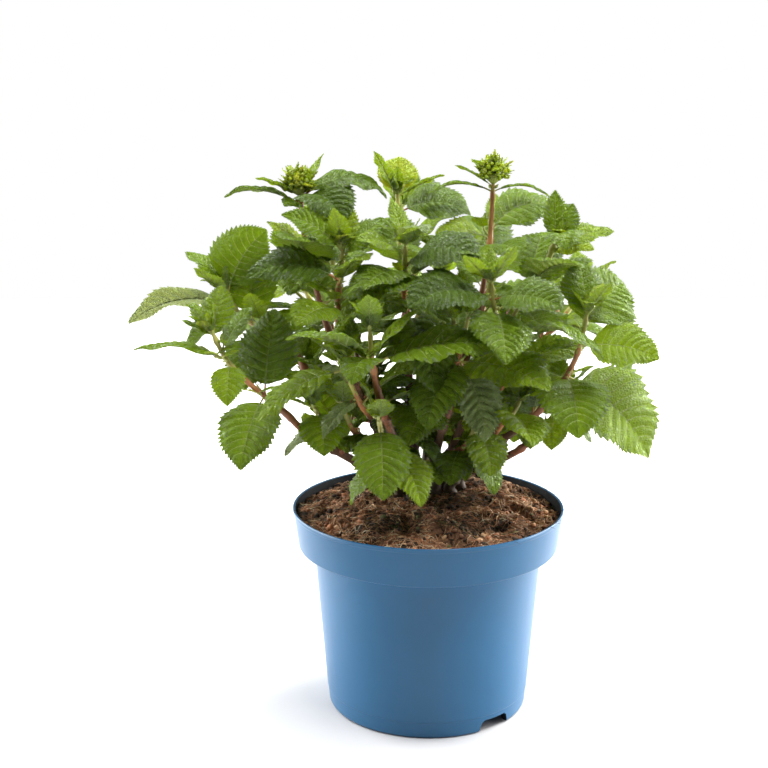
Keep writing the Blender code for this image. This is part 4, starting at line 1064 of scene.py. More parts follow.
def grow_sprays(name, space):
    """The finer twigs low on a bough, each with a small leaf pair at its tip and one half way."""
    dice = random.Random(f"{SEED} sprays {name}")
    points, radii = bough_axis(name)
    found = []
    for number in range(SPRAYS):
        share = SPRAY_LOW + (SPRAY_HIGH - SPRAY_LOW) * (number + dice.random()) / SPRAYS
        place, direction = along(points, share)
        heading = number * GOLDEN_TURN + dice.uniform(-SPRAY_TURN, SPRAY_TURN)
        across = Vector((math.cos(heading), math.sin(heading), 0.0))
        aim = (direction * SPRAY_LEAN + across + SPRAY_LIFT).normalized()
        tip = place + aim * dice.uniform(*SPRAY_REACH)
        start = place + aim * (radii[0] + SPRAY_RADIUS)
        if not space.free(*limb_mesh([start, tip], [SPRAY_RADIUS, SPRAY_RADIUS])):
            continue
        owner = f"spray {name} {number}"
        twig = [place, start, tip]
        space.add(*limb_mesh(twig, [SPRAY_RADIUS] * 3), owner + OWN)
        leaves = []
        for rank, step in enumerate(SPRAY_NODES):
            root = place.lerp(tip, step) - aim * SPRAY_LEAF_SINK
            length = dice.uniform(*SPRAY_LEAF)
            side = heading + QUARTER_TURN * (1 + rank)
            pair = leaf_pair(root, aim, side, 2 + rank, length, SPRAY_RADIUS, space, owner, dice)
            leaves += [(leaf, dice.choice(SPRAY_TINTS)) for leaf in pair]
        if leaves:
            found.append((twig, leaves))
    return found


# ---------------------------------------------------------------------------------------------------------
# Joined meshes


def grid_faces(rows, columns, closed=False, flipped=False):
    """Quads of a grid whose points run along each row. A closed grid joins each row's end to its start."""
    spans = columns if closed else columns - 1
    row = np.arange(rows - 1)[:, None] * columns
    here = np.arange(spans)[None, :]
    after = (here + 1) % columns
    quads = np.stack([row + here, row + columns + here, row + columns + after, row + after], axis=-1)
    quads = quads.reshape(-1, 4)
    return quads[:, ::-1] if flipped else quads


class Pile:
    """Points and faces gathered for one joined piece. Each face carries the name of its look."""

    def __init__(self):
        self.places = []
        self.faces = []
        self.looks = []
        self.total = 0

    def add(self, places, faces, looks):
        places = np.asarray(places, dtype=float).reshape(-1, 3)
        faces = np.asarray(faces)
        self.places.append(places)
        self.faces.append(faces + self.total)
        self.looks.append(np.broadcast_to(np.asarray(looks), len(faces)))
        self.total += len(places)

    def piece(self, name, skins):
        """The joined piece, with smooth faces and only the materials that it uses."""
        places = np.concatenate(self.places)
        sizes = np.concatenate([np.full(len(faces), faces.shape[1]) for faces in self.faces])
        corners = np.concatenate([faces.ravel() for faces in self.faces])
        used, kinds = np.unique(np.concatenate(self.looks), return_inverse=True)
        mesh = bpy.data.meshes.new(name)
        mesh.vertices.add(len(places))
        mesh.vertices.foreach_set("co", places.ravel())
        mesh.loops.add(len(corners))
        mesh.loops.foreach_set("vertex_index", corners)
        mesh.polygons.add(len(sizes))
        mesh.polygons.foreach_set("loop_start", np.cumsum(sizes) - sizes)
        mesh.polygons.foreach_set("material_index", kinds.ravel())
        for look in used:
            mesh.materials.append(skins[look])
        mesh.update(calc_edges=True)
        mesh.shade_smooth()
        return linked(name, mesh)


def linked(name, mesh):
    obj = bpy.data.objects.new(name, mesh)
    bpy.context.scene.collection.objects.link(obj)
    return obj


def lattice_noise(x, y, seed):
    """Smooth noise between -1 and 1 over a plane, one random value to each unit of the lattice."""
    table = np.random.default_rng(seed).uniform(-1.0, 1.0, (64, 64))
    left, low = np.floor(x).astype(int), np.floor(y).astype(int)
    u, v = x - left, y - low
    u, v = u * u * (3 - 2 * u), v * v * (3 - 2 * v)
    near = table[left % 64, low % 64] * (1 - u) + table[(left + 1) % 64, low % 64] * u
    far = table[left % 64, (low + 1) % 64] * (1 - u) + table[(left + 1) % 64, (low + 1) % 64] * u
    return near * (1 - v) + far * v


# ---------------------------------------------------------------------------------------------------------
# Leaves


class Line:
    """A leaf's centre line, closely sampled, with its side and its upper normal at each place."""

    def __init__(self, leaf, twist=0.0):
        self.leaf = leaf
        self.total = leaf.stalk + leaf.length
        self.distance = np.linspace(0.0, self.total, LINE_STEPS + 1)
        step = self.total / LINE_STEPS
        direction, _, _ = self.frames(self.distance[:-1] + step / 2, twist)
        walked = np.cumsum(direction * step, axis=0)
        self.places = np.array(leaf.root) + np.vstack([np.zeros(3), walked])
        _, self.sides, self.normals = self.frames(self.distance, twist)

    def frames(self, distance, twist):
        share = distance / self.total
        rise = self.leaf.rise - self.leaf.droop * share**DROOP_CURVE
        flat = np.array([math.cos(self.leaf.heading), math.sin(self.leaf.heading), 0.0])
        up = np.array([0.0, 0.0, 1.0])
        direction = np.cos(rise)[:, None] * flat + np.sin(rise)[:, None] * up
        normal = np.cos(rise)[:, None] * up - np.sin(rise)[:, None] * flat
        side = np.cross(normal, direction)
        roll = (self.leaf.roll * np.minimum(1.0, share * ROLL_START) + twist * share)[:, None]
        rolled = side * np.cos(roll) + normal * np.sin(roll)
        return direction, rolled, normal * np.cos(roll) - side * np.sin(roll)

    def at(self, distance, aside, above):
        """Places at a distance along the line, so far to its side and so far above it."""
        found = [
            np.stack([np.interp(distance, self.distance, values[:, axis]) for axis in range(3)], axis=-1)
            for values in (self.places, self.sides, self.normals)
        ]
        return found[0] + found[1] * aside[..., None] + found[2] * above[..., None]


def blade_width(share):
    """Half width of a blade along its length, where 1 is the widest: rounded foot, drawn-out tip."""
    share = np.clip(share, 0.0, 1.0)
    body = np.maximum(0.0, np.sin(np.pi * share**BLADE_FOOT_LEAN)) ** BLADE_FOOT_ROUNDNESS
    for loss, power in (BLADE_WAIST, BLADE_POINT):
        body = body * (1.0 - loss * share**power)
    return body


def blade_rows(veins, teeth):
    """Rows across a blade: share along the midrib, tooth or notch, side of a vein, way to the next vein."""
    span = LAST_VEIN - FIRST_VEIN
    marks = [FIRST_VEIN + span * (vein / veins) ** VEIN_CROWDING for vein in range(veins + 1)]
    steps = 2 * teeth
    rows = [(BLADE_FOOT, 0.0, 0, 0.0), (FIRST_VEIN * 0.5, 1.0, 0, 0.5)]
    for start, stop in zip(marks, marks[1:]):
        rows += [(start, 1.0, -1, 0.0), (start, 1.0, 1, 0.0)]
        for step in range(1, steps):
            rows.append((start + (stop - start) * step / steps, 1.0 - step % 2, 0, step / steps))
    last = marks[-1]
    for step in range(steps):
        rows.append((last + (BLADE_END - last) * step / steps, 1.0 - step % 2, 0, step / steps))
    rows.append((BLADE_END, 0.0, 0, 0.0))
    return [np.array(values)[:, None] for values in zip(*rows)]


def blade_columns(shares):
    """Signed shares of the half width, from one margin to the other, with the midrib's two edges."""
    half = [MIDRIB_COLUMN, *shares]
    return np.array([-share for share in reversed(half)] + [0.0] + half)[None, :]


def blade_outline(leaf, middle, tooth, beside, out):
    """Share along the blade, half width there, taper at both ends and distance from the midrib."""
    margin = out > MARGIN
    along = middle + VEIN_SWEEP * out**VEIN_CURVE * np.sin(np.pi * middle)
    along = along + beside * VEIN_HALF_WIDTH * (1.0 - VEIN_NARROWING * out)
    along = np.clip(along + margin * (tooth - TOOTH_FORWARD) * TOOTH_LEAN, 0.0, 1.0)
    half = leaf.half_width * blade_width(along)
    ends = np.sin(np.pi * np.clip(middle, 0.0, 1.0)) ** 0.5
    spread = half * out + margin * (tooth - TOOTH_OUTWARD) * TOOTH_DEPTH * leaf.length * ends
    rib = np.minimum(MIDRIB_HALF_WIDTH * leaf.length * (MIDRIB_TAPER - middle), half * 0.5)
    spread = np.where(out < MIDRIB_EDGE, np.where(out > 0.0, rib, 0.0), spread)
    return along, half, ends, spread


def blade_relief(size, outline, beside, onward, column, dice):
    """Height over the leaf's plane: folded along the midrib, curled, waved and quilted between veins."""
    along, half, ends, spread = outline
    out = np.abs(column)
    fold = math.tan(LEAF_FOLD * dice.uniform(*FOLD_SPREAD))
    curl = dice.uniform(*CURL)
    waves = dice.uniform(*WAVES)
    phase = np.where(column > 0, dice.uniform(*FULL_TURN), dice.uniform(*FULL_TURN))
    above = spread * fold * (1.0 - FOLD_EASE * out) - curl * half * out**3
    above = above + RIPPLE * size * out**RIPPLE_CURVE * ends * np.sin(2 * np.pi * waves * along + phase)
    hump = np.sin(np.pi * onward) ** QUILT_LENGTHWISE
    hump = hump * np.sin(np.pi * np.clip(out, 0.0, 1.0)) ** QUILT_ACROSS
    above = above + QUILT * size * dice.uniform(*QUILT_SPREAD) * hump * ends
    return above - VEIN_SINK * size * np.abs(beside) * (1.0 - out) * ends


def add_blade(pile, line, tint, dice):
    """A blade: quilted between its veins, toothed at its margin, its veins standing out underneath."""
    leaf = line.leaf
    size = leaf.length
    _, veins, teeth, shares = next(grid for grid in BLADE_GRIDS if size > grid[0])
    middle, tooth, beside, onward = blade_rows(veins, teeth)
    column = blade_columns(shares)
    out = np.abs(column)
    outline = blade_outline(leaf, middle, tooth, beside, out)
    above = blade_relief(size, outline, beside, onward, column, dice)
    along, _, ends, spread = outline
    aside = np.sign(column) * spread
    distance = leaf.stalk + along * size
    raised = np.abs(beside) * (1.0 - out) * UNDER_RIDGE
    thick = size * (BLADE_THICKNESS * (1.0 - out**4) + raised) * np.clip(ends * 1.5, 0.05, 1.0)
    upper = line.at(distance, aside, above)
    lower = line.at(distance, aside, above - thick)

    ribs = (out[0, :-1] < MIDRIB_EDGE) & (out[0, 1:] < MIDRIB_EDGE)
    strips = (beside[:-1, 0] < 0) & (beside[1:, 0] > 0)
    inside = (out[0, :-1] < VEIN_EDGE) & (out[0, 1:] < VEIN_EDGE)
    veined = (ribs[None, :] | (strips[:, None] & inside[None, :])).ravel()
    rows, columns = above.shape
    pile.add(upper, grid_faces(rows, columns), np.where(veined, "vein_" + tint, "leaf_" + tint))
    under = np.where(veined, "under_vein", "under_" + tint)
    pile.add(lower, grid_faces(rows, columns, flipped=True), under)


def add_stalk(pile, line, tint, stout):
    """The leaf's stalk, which runs on as a ridge under the midrib."""
    leaf = line.leaf
    stalk = np.linspace(0.0, leaf.stalk, STALK_RINGS)
    ridge = np.linspace(leaf.stalk, leaf.stalk + RIDGE_END * leaf.length, RIDGE_RINGS + 1)[1:]
    distance = np.concatenate([stalk, ridge])
    clasp = np.exp(-((stalk / (CLASP[1] * leaf.stalk)) ** 2))
    thin = (ridge - leaf.stalk) / leaf.length
    radius = stout * np.concatenate([1.0 + CLASP[0] * clasp, (1.0 - thin) ** RIDGE_CURVE])
    sunk = np.concatenate([np.zeros(len(stalk)), radius[len(stalk):] * RIDGE_SINK[0] + RIDGE_SINK[1]])
    ease = np.clip((distance - leaf.stalk * 0.7) / (leaf.stalk * 0.6), 0.0, 1.0)
    angle = 2 * np.pi * np.arange(STALK_SIDES)[None, :] / STALK_SIDES
    groove = GROOVE[0] * np.exp(-((angle - np.pi / 2) ** 2) / GROOVE[1])
    groove = 1.0 - groove * (distance < leaf.stalk)[:, None]
    aside = radius[:, None] * np.cos(angle) * groove
    above = radius[:, None] * np.sin(angle) * groove - (sunk * ease)[:, None]
    places = line.at(distance[:, None] + 0 * angle, aside, above)
    looks = np.where(np.arange(len(distance) - 1) < len(stalk) - 1, STALK_LOOKS[tint], "under_vein")
    faces = grid_faces(len(distance), STALK_SIDES, closed=True, flipped=True)
    pile.add(places, faces, np.repeat(looks, STALK_SIDES))
    pile.add(places[-1], np.arange(STALK_SIDES)[None, :], "under_vein")


def add_leaf(leaves, stems, leaf, tint, dice):
    line = Line(leaf, twist=math.radians(dice.uniform(-TWIST, TWIST)))
    add_blade(leaves, line, tint, dice)
    stout = min(MOST_STALK, max(LEAST_STALK, leaf.length / LEAF_LENGTH))
    add_stalk(stems, line, tint, PETIOLE_RADIUS * stout)


# ---------------------------------------------------------------------------------------------------------
# Limbs and buds


def smooth_path(points, per_span):
    """Close points on a curve through all the given ones."""
    known = [np.array(point) for point in points]
    known = [2 * known[0] - known[1], *known, 2 * known[-1] - known[-2]]
    found = []
    for a, b, c, d in zip(known, known[1:], known[2:], known[3:]):
        bend = 2 * a - 5 * b + 4 * c - d
        twist = 3 * b - a - 3 * c + d
        for step in range(per_span):
            t = step / per_span
            found.append(0.5 * (2 * b + (c - a) * t + bend * t**2 + twist * t**3))
    found.append(known[-2])
    return np.array(found)


def path_frames(path):
    """Directions along a path, and two normals to it that turn as little as they can."""
    direction = np.gradient(path, axis=0)
    direction /= np.linalg.norm(direction, axis=1)[:, None]
    across = np.array(Vector(direction[0]).orthogonal().normalized())
    sides = []
    for way in direction:
        across = across - way * across.dot(way)
        across = across / np.linalg.norm(across)
        sides.append(across)
    sides = np.array(sides)
    return direction, sides, np.cross(direction, sides)


def limb_relief(distance, angle, radius, nodes, rough, dice):
    """Radius round a limb: swollen at its nodes, ridged along its length and dotted with lenticels."""
    spread = radius * np.ones_like(angle)
    swelling, swelling_length = NODE_SWELLING
    groove, groove_lift, groove_length = NODE_GROOVE
    for node in nodes:
        spread = spread + swelling * radius * np.exp(-(((distance - node) / swelling_length) ** 2))
        ringed = np.exp(-(((distance - node - groove_lift) / groove_length) ** 2))
        spread = spread - groove * radius * ringed
    relief = 0.0
    for count in RIDGE_COUNTS:
        sway = dice.uniform(-RIDGE_SWAY, RIDGE_SWAY)
        phase = dice.uniform(*FULL_TURN)
        relief = relief + np.sin(count * angle + sway * distance + phase) / (count + 1)
    spread = spread * (1.0 + rough * relief)
    start = dice.uniform(0, 50)
    around = COARSE_TURNS * np.sin(angle) + 7
    coarse = lattice_noise(distance * COARSE_GRAIN + start, around, dice.randrange(999))
    spread = spread * (1.0 + COARSE_SHARE * rough * coarse)
    for _ in range(int(distance.max() / DOT_SPACING)):
        place, turn = dice.uniform(0, distance.max()), dice.uniform(0, 2 * math.pi)
        aside = np.angle(np.exp(1j * (angle - turn))) * radius
        dot = np.exp(-(((distance - place) / DOT_LENGTH) ** 2) - (aside / DOT_WIDTH) ** 2)
        spread = spread + DOT_HEIGHT * dot
    return spread


def zone_looks(share, zones, dice):
    """Looks along a limb, face by face: zones of (share up to, look), speckled where they meet."""
    speckle = np.random.default_rng(dice.randrange(10**6)).normal(0.0, ZONE_SPECKLE, share.shape)
    found = np.full(share.shape, zones[-1][1], dtype="U12")
    for stop, look in reversed(zones[:-1]):
        found = np.where(share + speckle < stop, look, found)
    return found


def add_limb(pile, points, radii, zones, dice, nodes=(),
             rough=TWIG_ROUGHNESS, sides=TWIG_SIDES, step=TWIG_STEP):
    """A limb with its bark's relief, closed at both ends."""
    path = smooth_path(points, PATH_STEPS)
    spans = np.linalg.norm(np.diff(path, axis=0), axis=1)
    walked = np.concatenate([[0.0], np.cumsum(spans)])
    rings = max(LEAST_RINGS, int(walked[-1] / step))
    distance = np.linspace(0.0, walked[-1], rings)
    path = np.stack([np.interp(distance, walked, path[:, axis]) for axis in range(3)], axis=-1)
    _, first, second = path_frames(path)
    knots = np.linspace(0.0, walked[-1], len(radii))
    radius = np.interp(distance, knots, radii)[:, None]
    angle = 2 * np.pi * np.arange(sides)[None, :] / sides
    spread = limb_relief(distance[:, None], angle + 0 * radius, radius, nodes, rough, dice)
    ring = first[:, None, :] * np.cos(angle)[..., None] + second[:, None, :] * np.sin(angle)[..., None]
    places = path[:, None, :] + ring * spread[..., None]
    share = np.repeat((distance[:-1] / walked[-1])[:, None], sides, axis=1)
    looks = zone_looks(share, zones, dice).ravel()
    pile.add(places, grid_faces(rings, sides, closed=True, flipped=True), looks)
    pile.add(places[0], np.arange(sides)[None, :], looks[0])
    pile.add(places[-1], np.arange(sides)[None, ::-1], looks[-1])


def turned_to(direction):
    """The turn that stands +Z along a direction, as an array."""
    return np.array(Vector(direction).to_track_quat("Z", "Y").to_matrix())


def add_drop(pile, foot, direction, radius, length, look, sides=8, rings=6, bulge=0.42):
    """A small pointed bud: round at its foot, drawn out to a tip."""
    share = np.linspace(0.0, 1.0, rings + 1)[:, None]
    spread = radius * np.sin(np.pi * np.clip(share, 0.03, 0.985) ** (math.log(0.5) / math.log(bulge)))
    angle = 2 * np.pi * np.arange(sides)[None, :] / sides
    local = np.stack([spread * np.cos(angle), spread * np.sin(angle), length * share + 0 * angle], axis=-1)
    places = local @ turned_to(direction).T + np.array(foot)
    pile.add(places, grid_faces(rings + 1, sides, closed=True, flipped=True), look)
    pile.add(places[-1], np.arange(sides)[None, ::-1], look)
    pile.add(places[0], np.arange(sides)[None, :], look)


def add_axil_bud(leaves, stems, leaf, direction, radius, dice):
    """The bud in a leaf's axil, and now and then the two small leaves of its young shoot."""
    flat = Vector((math.cos(leaf.heading), math.sin(leaf.heading), 0.0))
    out = (flat - direction * flat.dot(direction)).normalized()
    foot = leaf.root + out * radius * 0.8 + direction * AXIL_LIFT
    aim = (direction + out * AXIL_LEAN).normalized()
    add_drop(stems, foot, aim, dice.uniform(*AXIL_BUD_RADII), dice.uniform(*AXIL_BUD_LENGTHS), "pale_stem")
    if dice.random() > AXIL_SHOOTS:
        return
    tip = foot + aim * dice.uniform(*AXIL_TWIG_LENGTHS)
    twiglet = [foot, foot.lerp(tip, 0.5), tip]
    add_limb(stems, twiglet, AXIL_TWIG_RADII, PALE_ZONES, dice, sides=6, step=0.002)
    turn = dice.uniform(0, math.pi)
    for way in (0, math.pi):
        young = Leaf(
            tip,
            turn + way,
            math.radians(dice.uniform(*AXIL_LEAF_RISE)),
            dice.uniform(*AXIL_LEAF_LENGTHS),
            math.radians(dice.uniform(*AXIL_LEAF_DROOP)),
            width=AXIL_LEAF_WIDTH,
        )
        add_leaf(leaves, stems, young, dice.choice(AXIL_TINTS), dice)


def heading_and_rise(aim):
    """A direction as a leaf's heading and its rise, in radians."""
    return math.atan2(aim.y, aim.x), math.asin(max(-1.0, min(1.0, aim.z)))


def add_crown_bud(leaves, stems, tip, direction, turn, dice):
    """The young leaves folded together on a leafy shoot's tip."""
    add_drop(stems, tip - direction * BUD_SUNK, direction, *CROWN_BUD, "pale_stem")
    for rank, (length, lean, tint) in enumerate(CROWN_RANKS):
        for way in (0, math.pi):
            heading = turn + way + rank * QUARTER_TURN + dice.uniform(-CROWN_TURN, CROWN_TURN)
            out = Vector((math.cos(heading), math.sin(heading), 0.0))
            aim = direction * math.cos(math.radians(lean)) + out * math.sin(math.radians(lean))
            heading, _ = heading_and_rise(aim)
            _, rise = heading_and_rise(aim.normalized())
            leaf = Leaf(
                tip + direction * CROWN_STEP * rank,
                heading,
                rise,
                length * dice.uniform(*CROWN_SIZES),
                math.radians(dice.uniform(*CROWN_DROOP)),
                width=CROWN_WIDTH,
            )
            add_leaf(leaves, stems, leaf, tint, dice)


def add_flower_bud(leaves, stems, tip, direction, dice):
    """A tight green head of flower buds, with narrow pointed bracts round it and over it."""
    turn = turned_to(direction)
    middle = np.array(tip + direction * HEAD_LIFT)
    for number in range(HEAD_BUDS):
        height = 1.0 - HEAD_SPAN * (number + 0.5) / HEAD_BUDS
        heading = number * GOLDEN_TURN
        flat = math.sqrt(max(0.0, 1.0 - height * height))
        out = np.array([flat * math.cos(heading), flat * math.sin(heading), height])
        foot = middle + (out * FLOWER_BUD_RADIUS * dice.uniform(*HEAD_REACH)) @ turn.T
        look = dice.choice(HEAD_LOOKS)
        radius, length = dice.uniform(*HEAD_BUD_RADII), dice.uniform(*HEAD_BUD_LENGTHS)
        add_drop(leaves, foot, out @ turn.T, radius, length, look, sides=6, rings=5, bulge=0.55)
    for number in range(HEAD_BRACTS):
        heading = number * GOLDEN_TURN + dice.uniform(-BRACT_TURN, BRACT_TURN)
        lean = math.radians(dice.uniform(*BRACT_LEAN))
        flat = math.sin(lean)
        out = np.array([flat * math.cos(heading), flat * math.sin(heading), math.cos(lean)])
        leaf = Leaf(
            Vector(tip) + direction * dice.uniform(*BRACT_LIFT),
            *heading_and_rise(Vector(out @ turn.T)),
            dice.uniform(*BRACT_LENGTHS),
            math.radians(dice.uniform(-BRACT_DROOP, BRACT_DROOP)),
            roll=dice.uniform(-BRACT_ROLL, BRACT_ROLL),
            width=dice.uniform(*BRACT_WIDTHS),
        )
        add_leaf(leaves, stems, leaf, dice.choice(BRACT_TINTS), dice)
    add_drop(stems, tip - direction * BUD_SUNK, direction, *HEAD_CORE, "pale_stem", sides=10, rings=8)


# ---------------------------------------------------------------------------------------------------------
# Pot


def wall_radius(height):
    """Outer radius of the tapered wall below the collar."""
    share = height / (POT_HEIGHT - COLLAR_HEIGHT)
    return BASE_RADIUS + (WALL_TOP_RADIUS - BASE_RADIUS) * share


def rounded(corner, before, after, radius):
    """A corner of a profile, rounded off towards the points before and after it."""
    corner, before, after = (Vector(point) for point in (corner, before, after))
    first = corner + (before - corner).normalized() * radius
    last = corner + (after - corner).normalized() * radius
    for step in range(ROUNDING_STEPS + 1):
        share = step / ROUNDING_STEPS
        yield tuple(first.lerp(corner, share).lerp(corner.lerp(last, share), share))


def rounded_profile(corners):
    """A profile of (radius, height, rounding) corners, with the rounding worked in."""
    found = []
    for number, (radius, height, rounding) in enumerate(corners):
        if rounding == 0.0 or number in (0, len(corners) - 1):
            found.append((radius, height))
            continue
        before, after = corners[number - 1][:2], corners[number + 1][:2]
        found += rounded((radius, height), before, after, rounding)
    return found


def pot_profile():
    """The pot's section in two runs: from the lip down the outside to the axis, and back up the inside."""
    collar_foot = POT_HEIGHT - COLLAR_HEIGHT
    floor_top = FOOT_CHANNEL_HEIGHT + WALL
    foot_line = wall_radius(FOOT_LINE_HEIGHT)
    lip = RIM_RADIUS - WALL / 2
    outside = rounded_profile([
        (lip, POT_HEIGHT, 0.0),
        (RIM_RADIUS, POT_HEIGHT, SOFT_EDGE),
        (RIM_RADIUS - RIM_BAND[0], POT_HEIGHT - RIM_BAND[1], FINE_EDGE),
        (RIM_RADIUS - RIM_STEP[0], POT_HEIGHT - RIM_STEP[1], FINE_EDGE),
        (COLLAR_FOOT_RADIUS, collar_foot + COLLAR_LIFT, COLLAR_ROUNDING),
        (COLLAR_FOOT_RADIUS - COLLAR_TURN, collar_foot, SOFT_EDGE),
        (wall_radius(collar_foot), collar_foot - SHOULDER_DROP, SHOULDER_ROUNDING),
        (foot_line, FOOT_LINE_HEIGHT + FOOT_LINE_SLOPE, FOOT_LINE_EDGES[0]),
        (foot_line - FOOT_LINE_STEP, FOOT_LINE_HEIGHT, FOOT_LINE_EDGES[1]),
        (wall_radius(0.0) - FOOT_LINE_STEP, 0.0, BASE_ROUNDING),
        (BASE_RADIUS - FOOT_RING_WIDTH, 0.0, FINE_EDGE),
        (BASE_RADIUS - FOOT_RING_WIDTH, FOOT_CHANNEL_HEIGHT, CHANNEL_EDGE),
        (FOOT_DISC_RADIUS, FOOT_CHANNEL_HEIGHT, CHANNEL_EDGE),
        (FOOT_DISC_RADIUS, 0.0, FINE_EDGE),
        (0.0, 0.0, 0.0),
    ])
    inside = rounded_profile([
        (0.0, WALL, 0.0),
        (FOOT_DISC_RADIUS - WALL, WALL, FINE_EDGE),
        (FOOT_DISC_RADIUS - WALL, floor_top, FINE_EDGE),
        (wall_radius(floor_top) - WALL, floor_top, FLOOR_ROUNDING),
        (wall_radius(collar_foot) - WALL, collar_foot, SOFT_EDGE),
        (COLLAR_FOOT_RADIUS - WALL - COLLAR_SHELF, collar_foot + WALL, SOFT_EDGE),
        (RIM_RADIUS - WALL, POT_HEIGHT - LIP_DROP, 0.0),
        (lip, POT_HEIGHT, 0.0),
    ])
    return outside, inside[:-1]


def notch_cutter(heading):
    """A block that cuts one foot notch, wider at the ground than at its top."""
    form = bmesh.new()
    bmesh.ops.create_cube(form, size=1.0)
    for vertex in form.verts:
        wide = 1.0 + NOTCH_FLARE * (1 if vertex.co.z < 0 else -1)
        x, y, z = vertex.co
        vertex.co = Vector((x * NOTCH_DEPTH, y * NOTCH_WIDTH * wide, z * 2 * NOTCH_HEIGHT))
    upper = [edge for edge in form.edges if all(vertex.co.z > 0 for vertex in edge.verts)]
    edges = [edge for edge in upper if abs(edge.verts[0].co.y - edge.verts[1].co.y) < 1e-6]
    bmesh.ops.bevel(form, geom=edges, offset=NOTCH_ROUNDING, segments=NOTCH_SEGMENTS, affect="EDGES")
    mesh = bpy.data.meshes.new("notch_cutter")
    form.to_mesh(mesh)
    form.free()
    reach = BASE_RADIUS - FOOT_RING_WIDTH / 2
    turn = math.radians(heading)
    place = Matrix.Translation((reach * math.cos(turn), reach * math.sin(turn), 0.0))
    mesh.transform(place @ Matrix.Rotation(turn, 4, "Z"))
    return linked("notch_cutter", mesh)


def make_pot(skins):
    outside, inside = pot_profile()
    profile = np.array(outside[:-1] + inside[1:])
    angle = 2 * np.pi * np.arange(POT_SIDES)[None, :] / POT_SIDES
    radius, height = profile[:, 0][:, None], profile[:, 1][:, None]
    places = np.stack([radius * np.cos(angle), radius * np.sin(angle), height + 0 * angle], axis=-1)
    split = len(outside) - 1
    rows = len(profile)
    pile = Pile()
    outer, inner = places[:split], places[split:]
    joined = np.concatenate([inner[-1:], outer])
    pile.add(joined, grid_faces(split + 1, POT_SIDES, closed=True), "pot_outside")
    pile.add(outer[-1], np.arange(POT_SIDES)[None, ::-1], "pot_outside")
    pile.add(inner, grid_faces(rows - split, POT_SIDES, closed=True), "pot_inside")
    pile.add(inner[0], np.arange(POT_SIDES)[None, :], "pot_inside")
    pot = pile.piece("nursery_pot", skins)
    form = bmesh.new()
    form.from_mesh(pot.data)
    bmesh.ops.remove_doubles(form, verts=form.verts, dist=WELD)
    bmesh.ops.recalc_face_normals(form, faces=form.faces)
    form.to_mesh(pot.data)
    form.free()
    for heading in NOTCH_HEADINGS:
        cutter = notch_cutter(heading)
        cut = pot.modifiers.new("notch", "BOOLEAN")
        cut.operation = "DIFFERENCE"
        cut.object = cutter
        graph = bpy.context.evaluated_depsgraph_get()
        mesh = bpy.data.meshes.new_from_object(pot.evaluated_get(graph))
        pot.modifiers.clear()
        pot.data = mesh
        bpy.data.objects.remove(cutter)
    pot.data.shade_smooth()
    pot.data.set_sharp_from_angle(angle=POT_SHARP_ANGLE)
    return pot


# ---------------------------------------------------------------------------------------------------------
# Peat


def soil_height(x, y):
    """Height of the peat's top: a low heap with soft lumps round it."""
    out = np.hypot(x, y)
    rim = RIM_RADIUS - WALL
    share = np.clip((out - SOIL_FLAT_RADIUS) / (rim - SOIL_FLAT_RADIUS), 0.0, 1.0)
    heap = SOIL_CROWN + (SOIL_EDGE - SOIL_CROWN) * share * share * (3 - 2 * share)
    large = np.sin(math.tau * x / LARGE_LUMP) * np.cos(math.tau * y / LARGE_LUMP)
    small = np.sin(math.tau * (x + y) / SMALL_LUMP)
    return heap + SOIL_BUMP * (large + small / 2) * np.sin(np.pi * share)


def soil_surface(x, y):
    """The heap with its clods: noise of several sizes."""
    found = soil_height(x, y)
    for number, (size, depth) in enumerate(SOIL_LUMPS):
        found = found + depth * (lattice_noise(x / size, y / size, SEED + number) - LUMP_LEVEL)
    return found


def soil_side(height):
    """Radius of the peat at a height, a hair inside the pot's wall."""
    collar_foot = POT_HEIGHT - COLLAR_HEIGHT
    if height <= collar_foot:
        return wall_radius(height) - WALL - CLEAR
    share = (height - collar_foot - WALL) / (COLLAR_HEIGHT - WALL)
    low = COLLAR_FOOT_RADIUS - WALL - COLLAR_SHELF
    high = RIM_RADIUS - WALL
    return low + (high - low) * max(0.0, share) - CLEAR


def add_soil_body(pile):
    edge = soil_side(SOIL_EDGE)
    share = (np.arange(1, SOIL_RINGS + 1) / SOIL_RINGS)[:, None]
    angle = 2 * np.pi * np.arange(SOIL_SIDES)[None, :] / SOIL_SIDES
    x, y = edge * share * np.cos(angle), edge * share * np.sin(angle)
    top = np.stack([x, y, soil_surface(x, y)], axis=-1)
    low = SOIL_EDGE - SOIL_DEPTH
    foot = soil_side(low)
    skirt = np.stack([foot * np.cos(angle[0]), foot * np.sin(angle[0]), np.full(SOIL_SIDES, low)], axis=-1)
    places = np.concatenate([top, skirt[None]])
    wet = lattice_noise(x / DARK_PATCH, y / DARK_PATCH, SEED + 9) > DARK_LEVEL
    looks = np.where(wet, "peat_dark", "peat_brown")[:-1]
    faces = grid_faces(SOIL_RINGS + 1, SOIL_SIDES, closed=True)
    pile.add(places, faces, np.append(looks.ravel(), np.full(SOIL_SIDES, "peat_dark")))
    pile.add(top[0], np.arange(SOIL_SIDES)[None, :], "peat_brown")
    pile.add(skirt, np.arange(SOIL_SIDES)[None, ::-1], "peat_dark")


def scattered(count, reach, lot):
    """Random places inside a circle."""
    out = reach * np.sqrt(lot.uniform(0, 1, count))
    turn = lot.uniform(0, 2 * np.pi, count)
    return out * np.cos(turn), out * np.sin(turn)


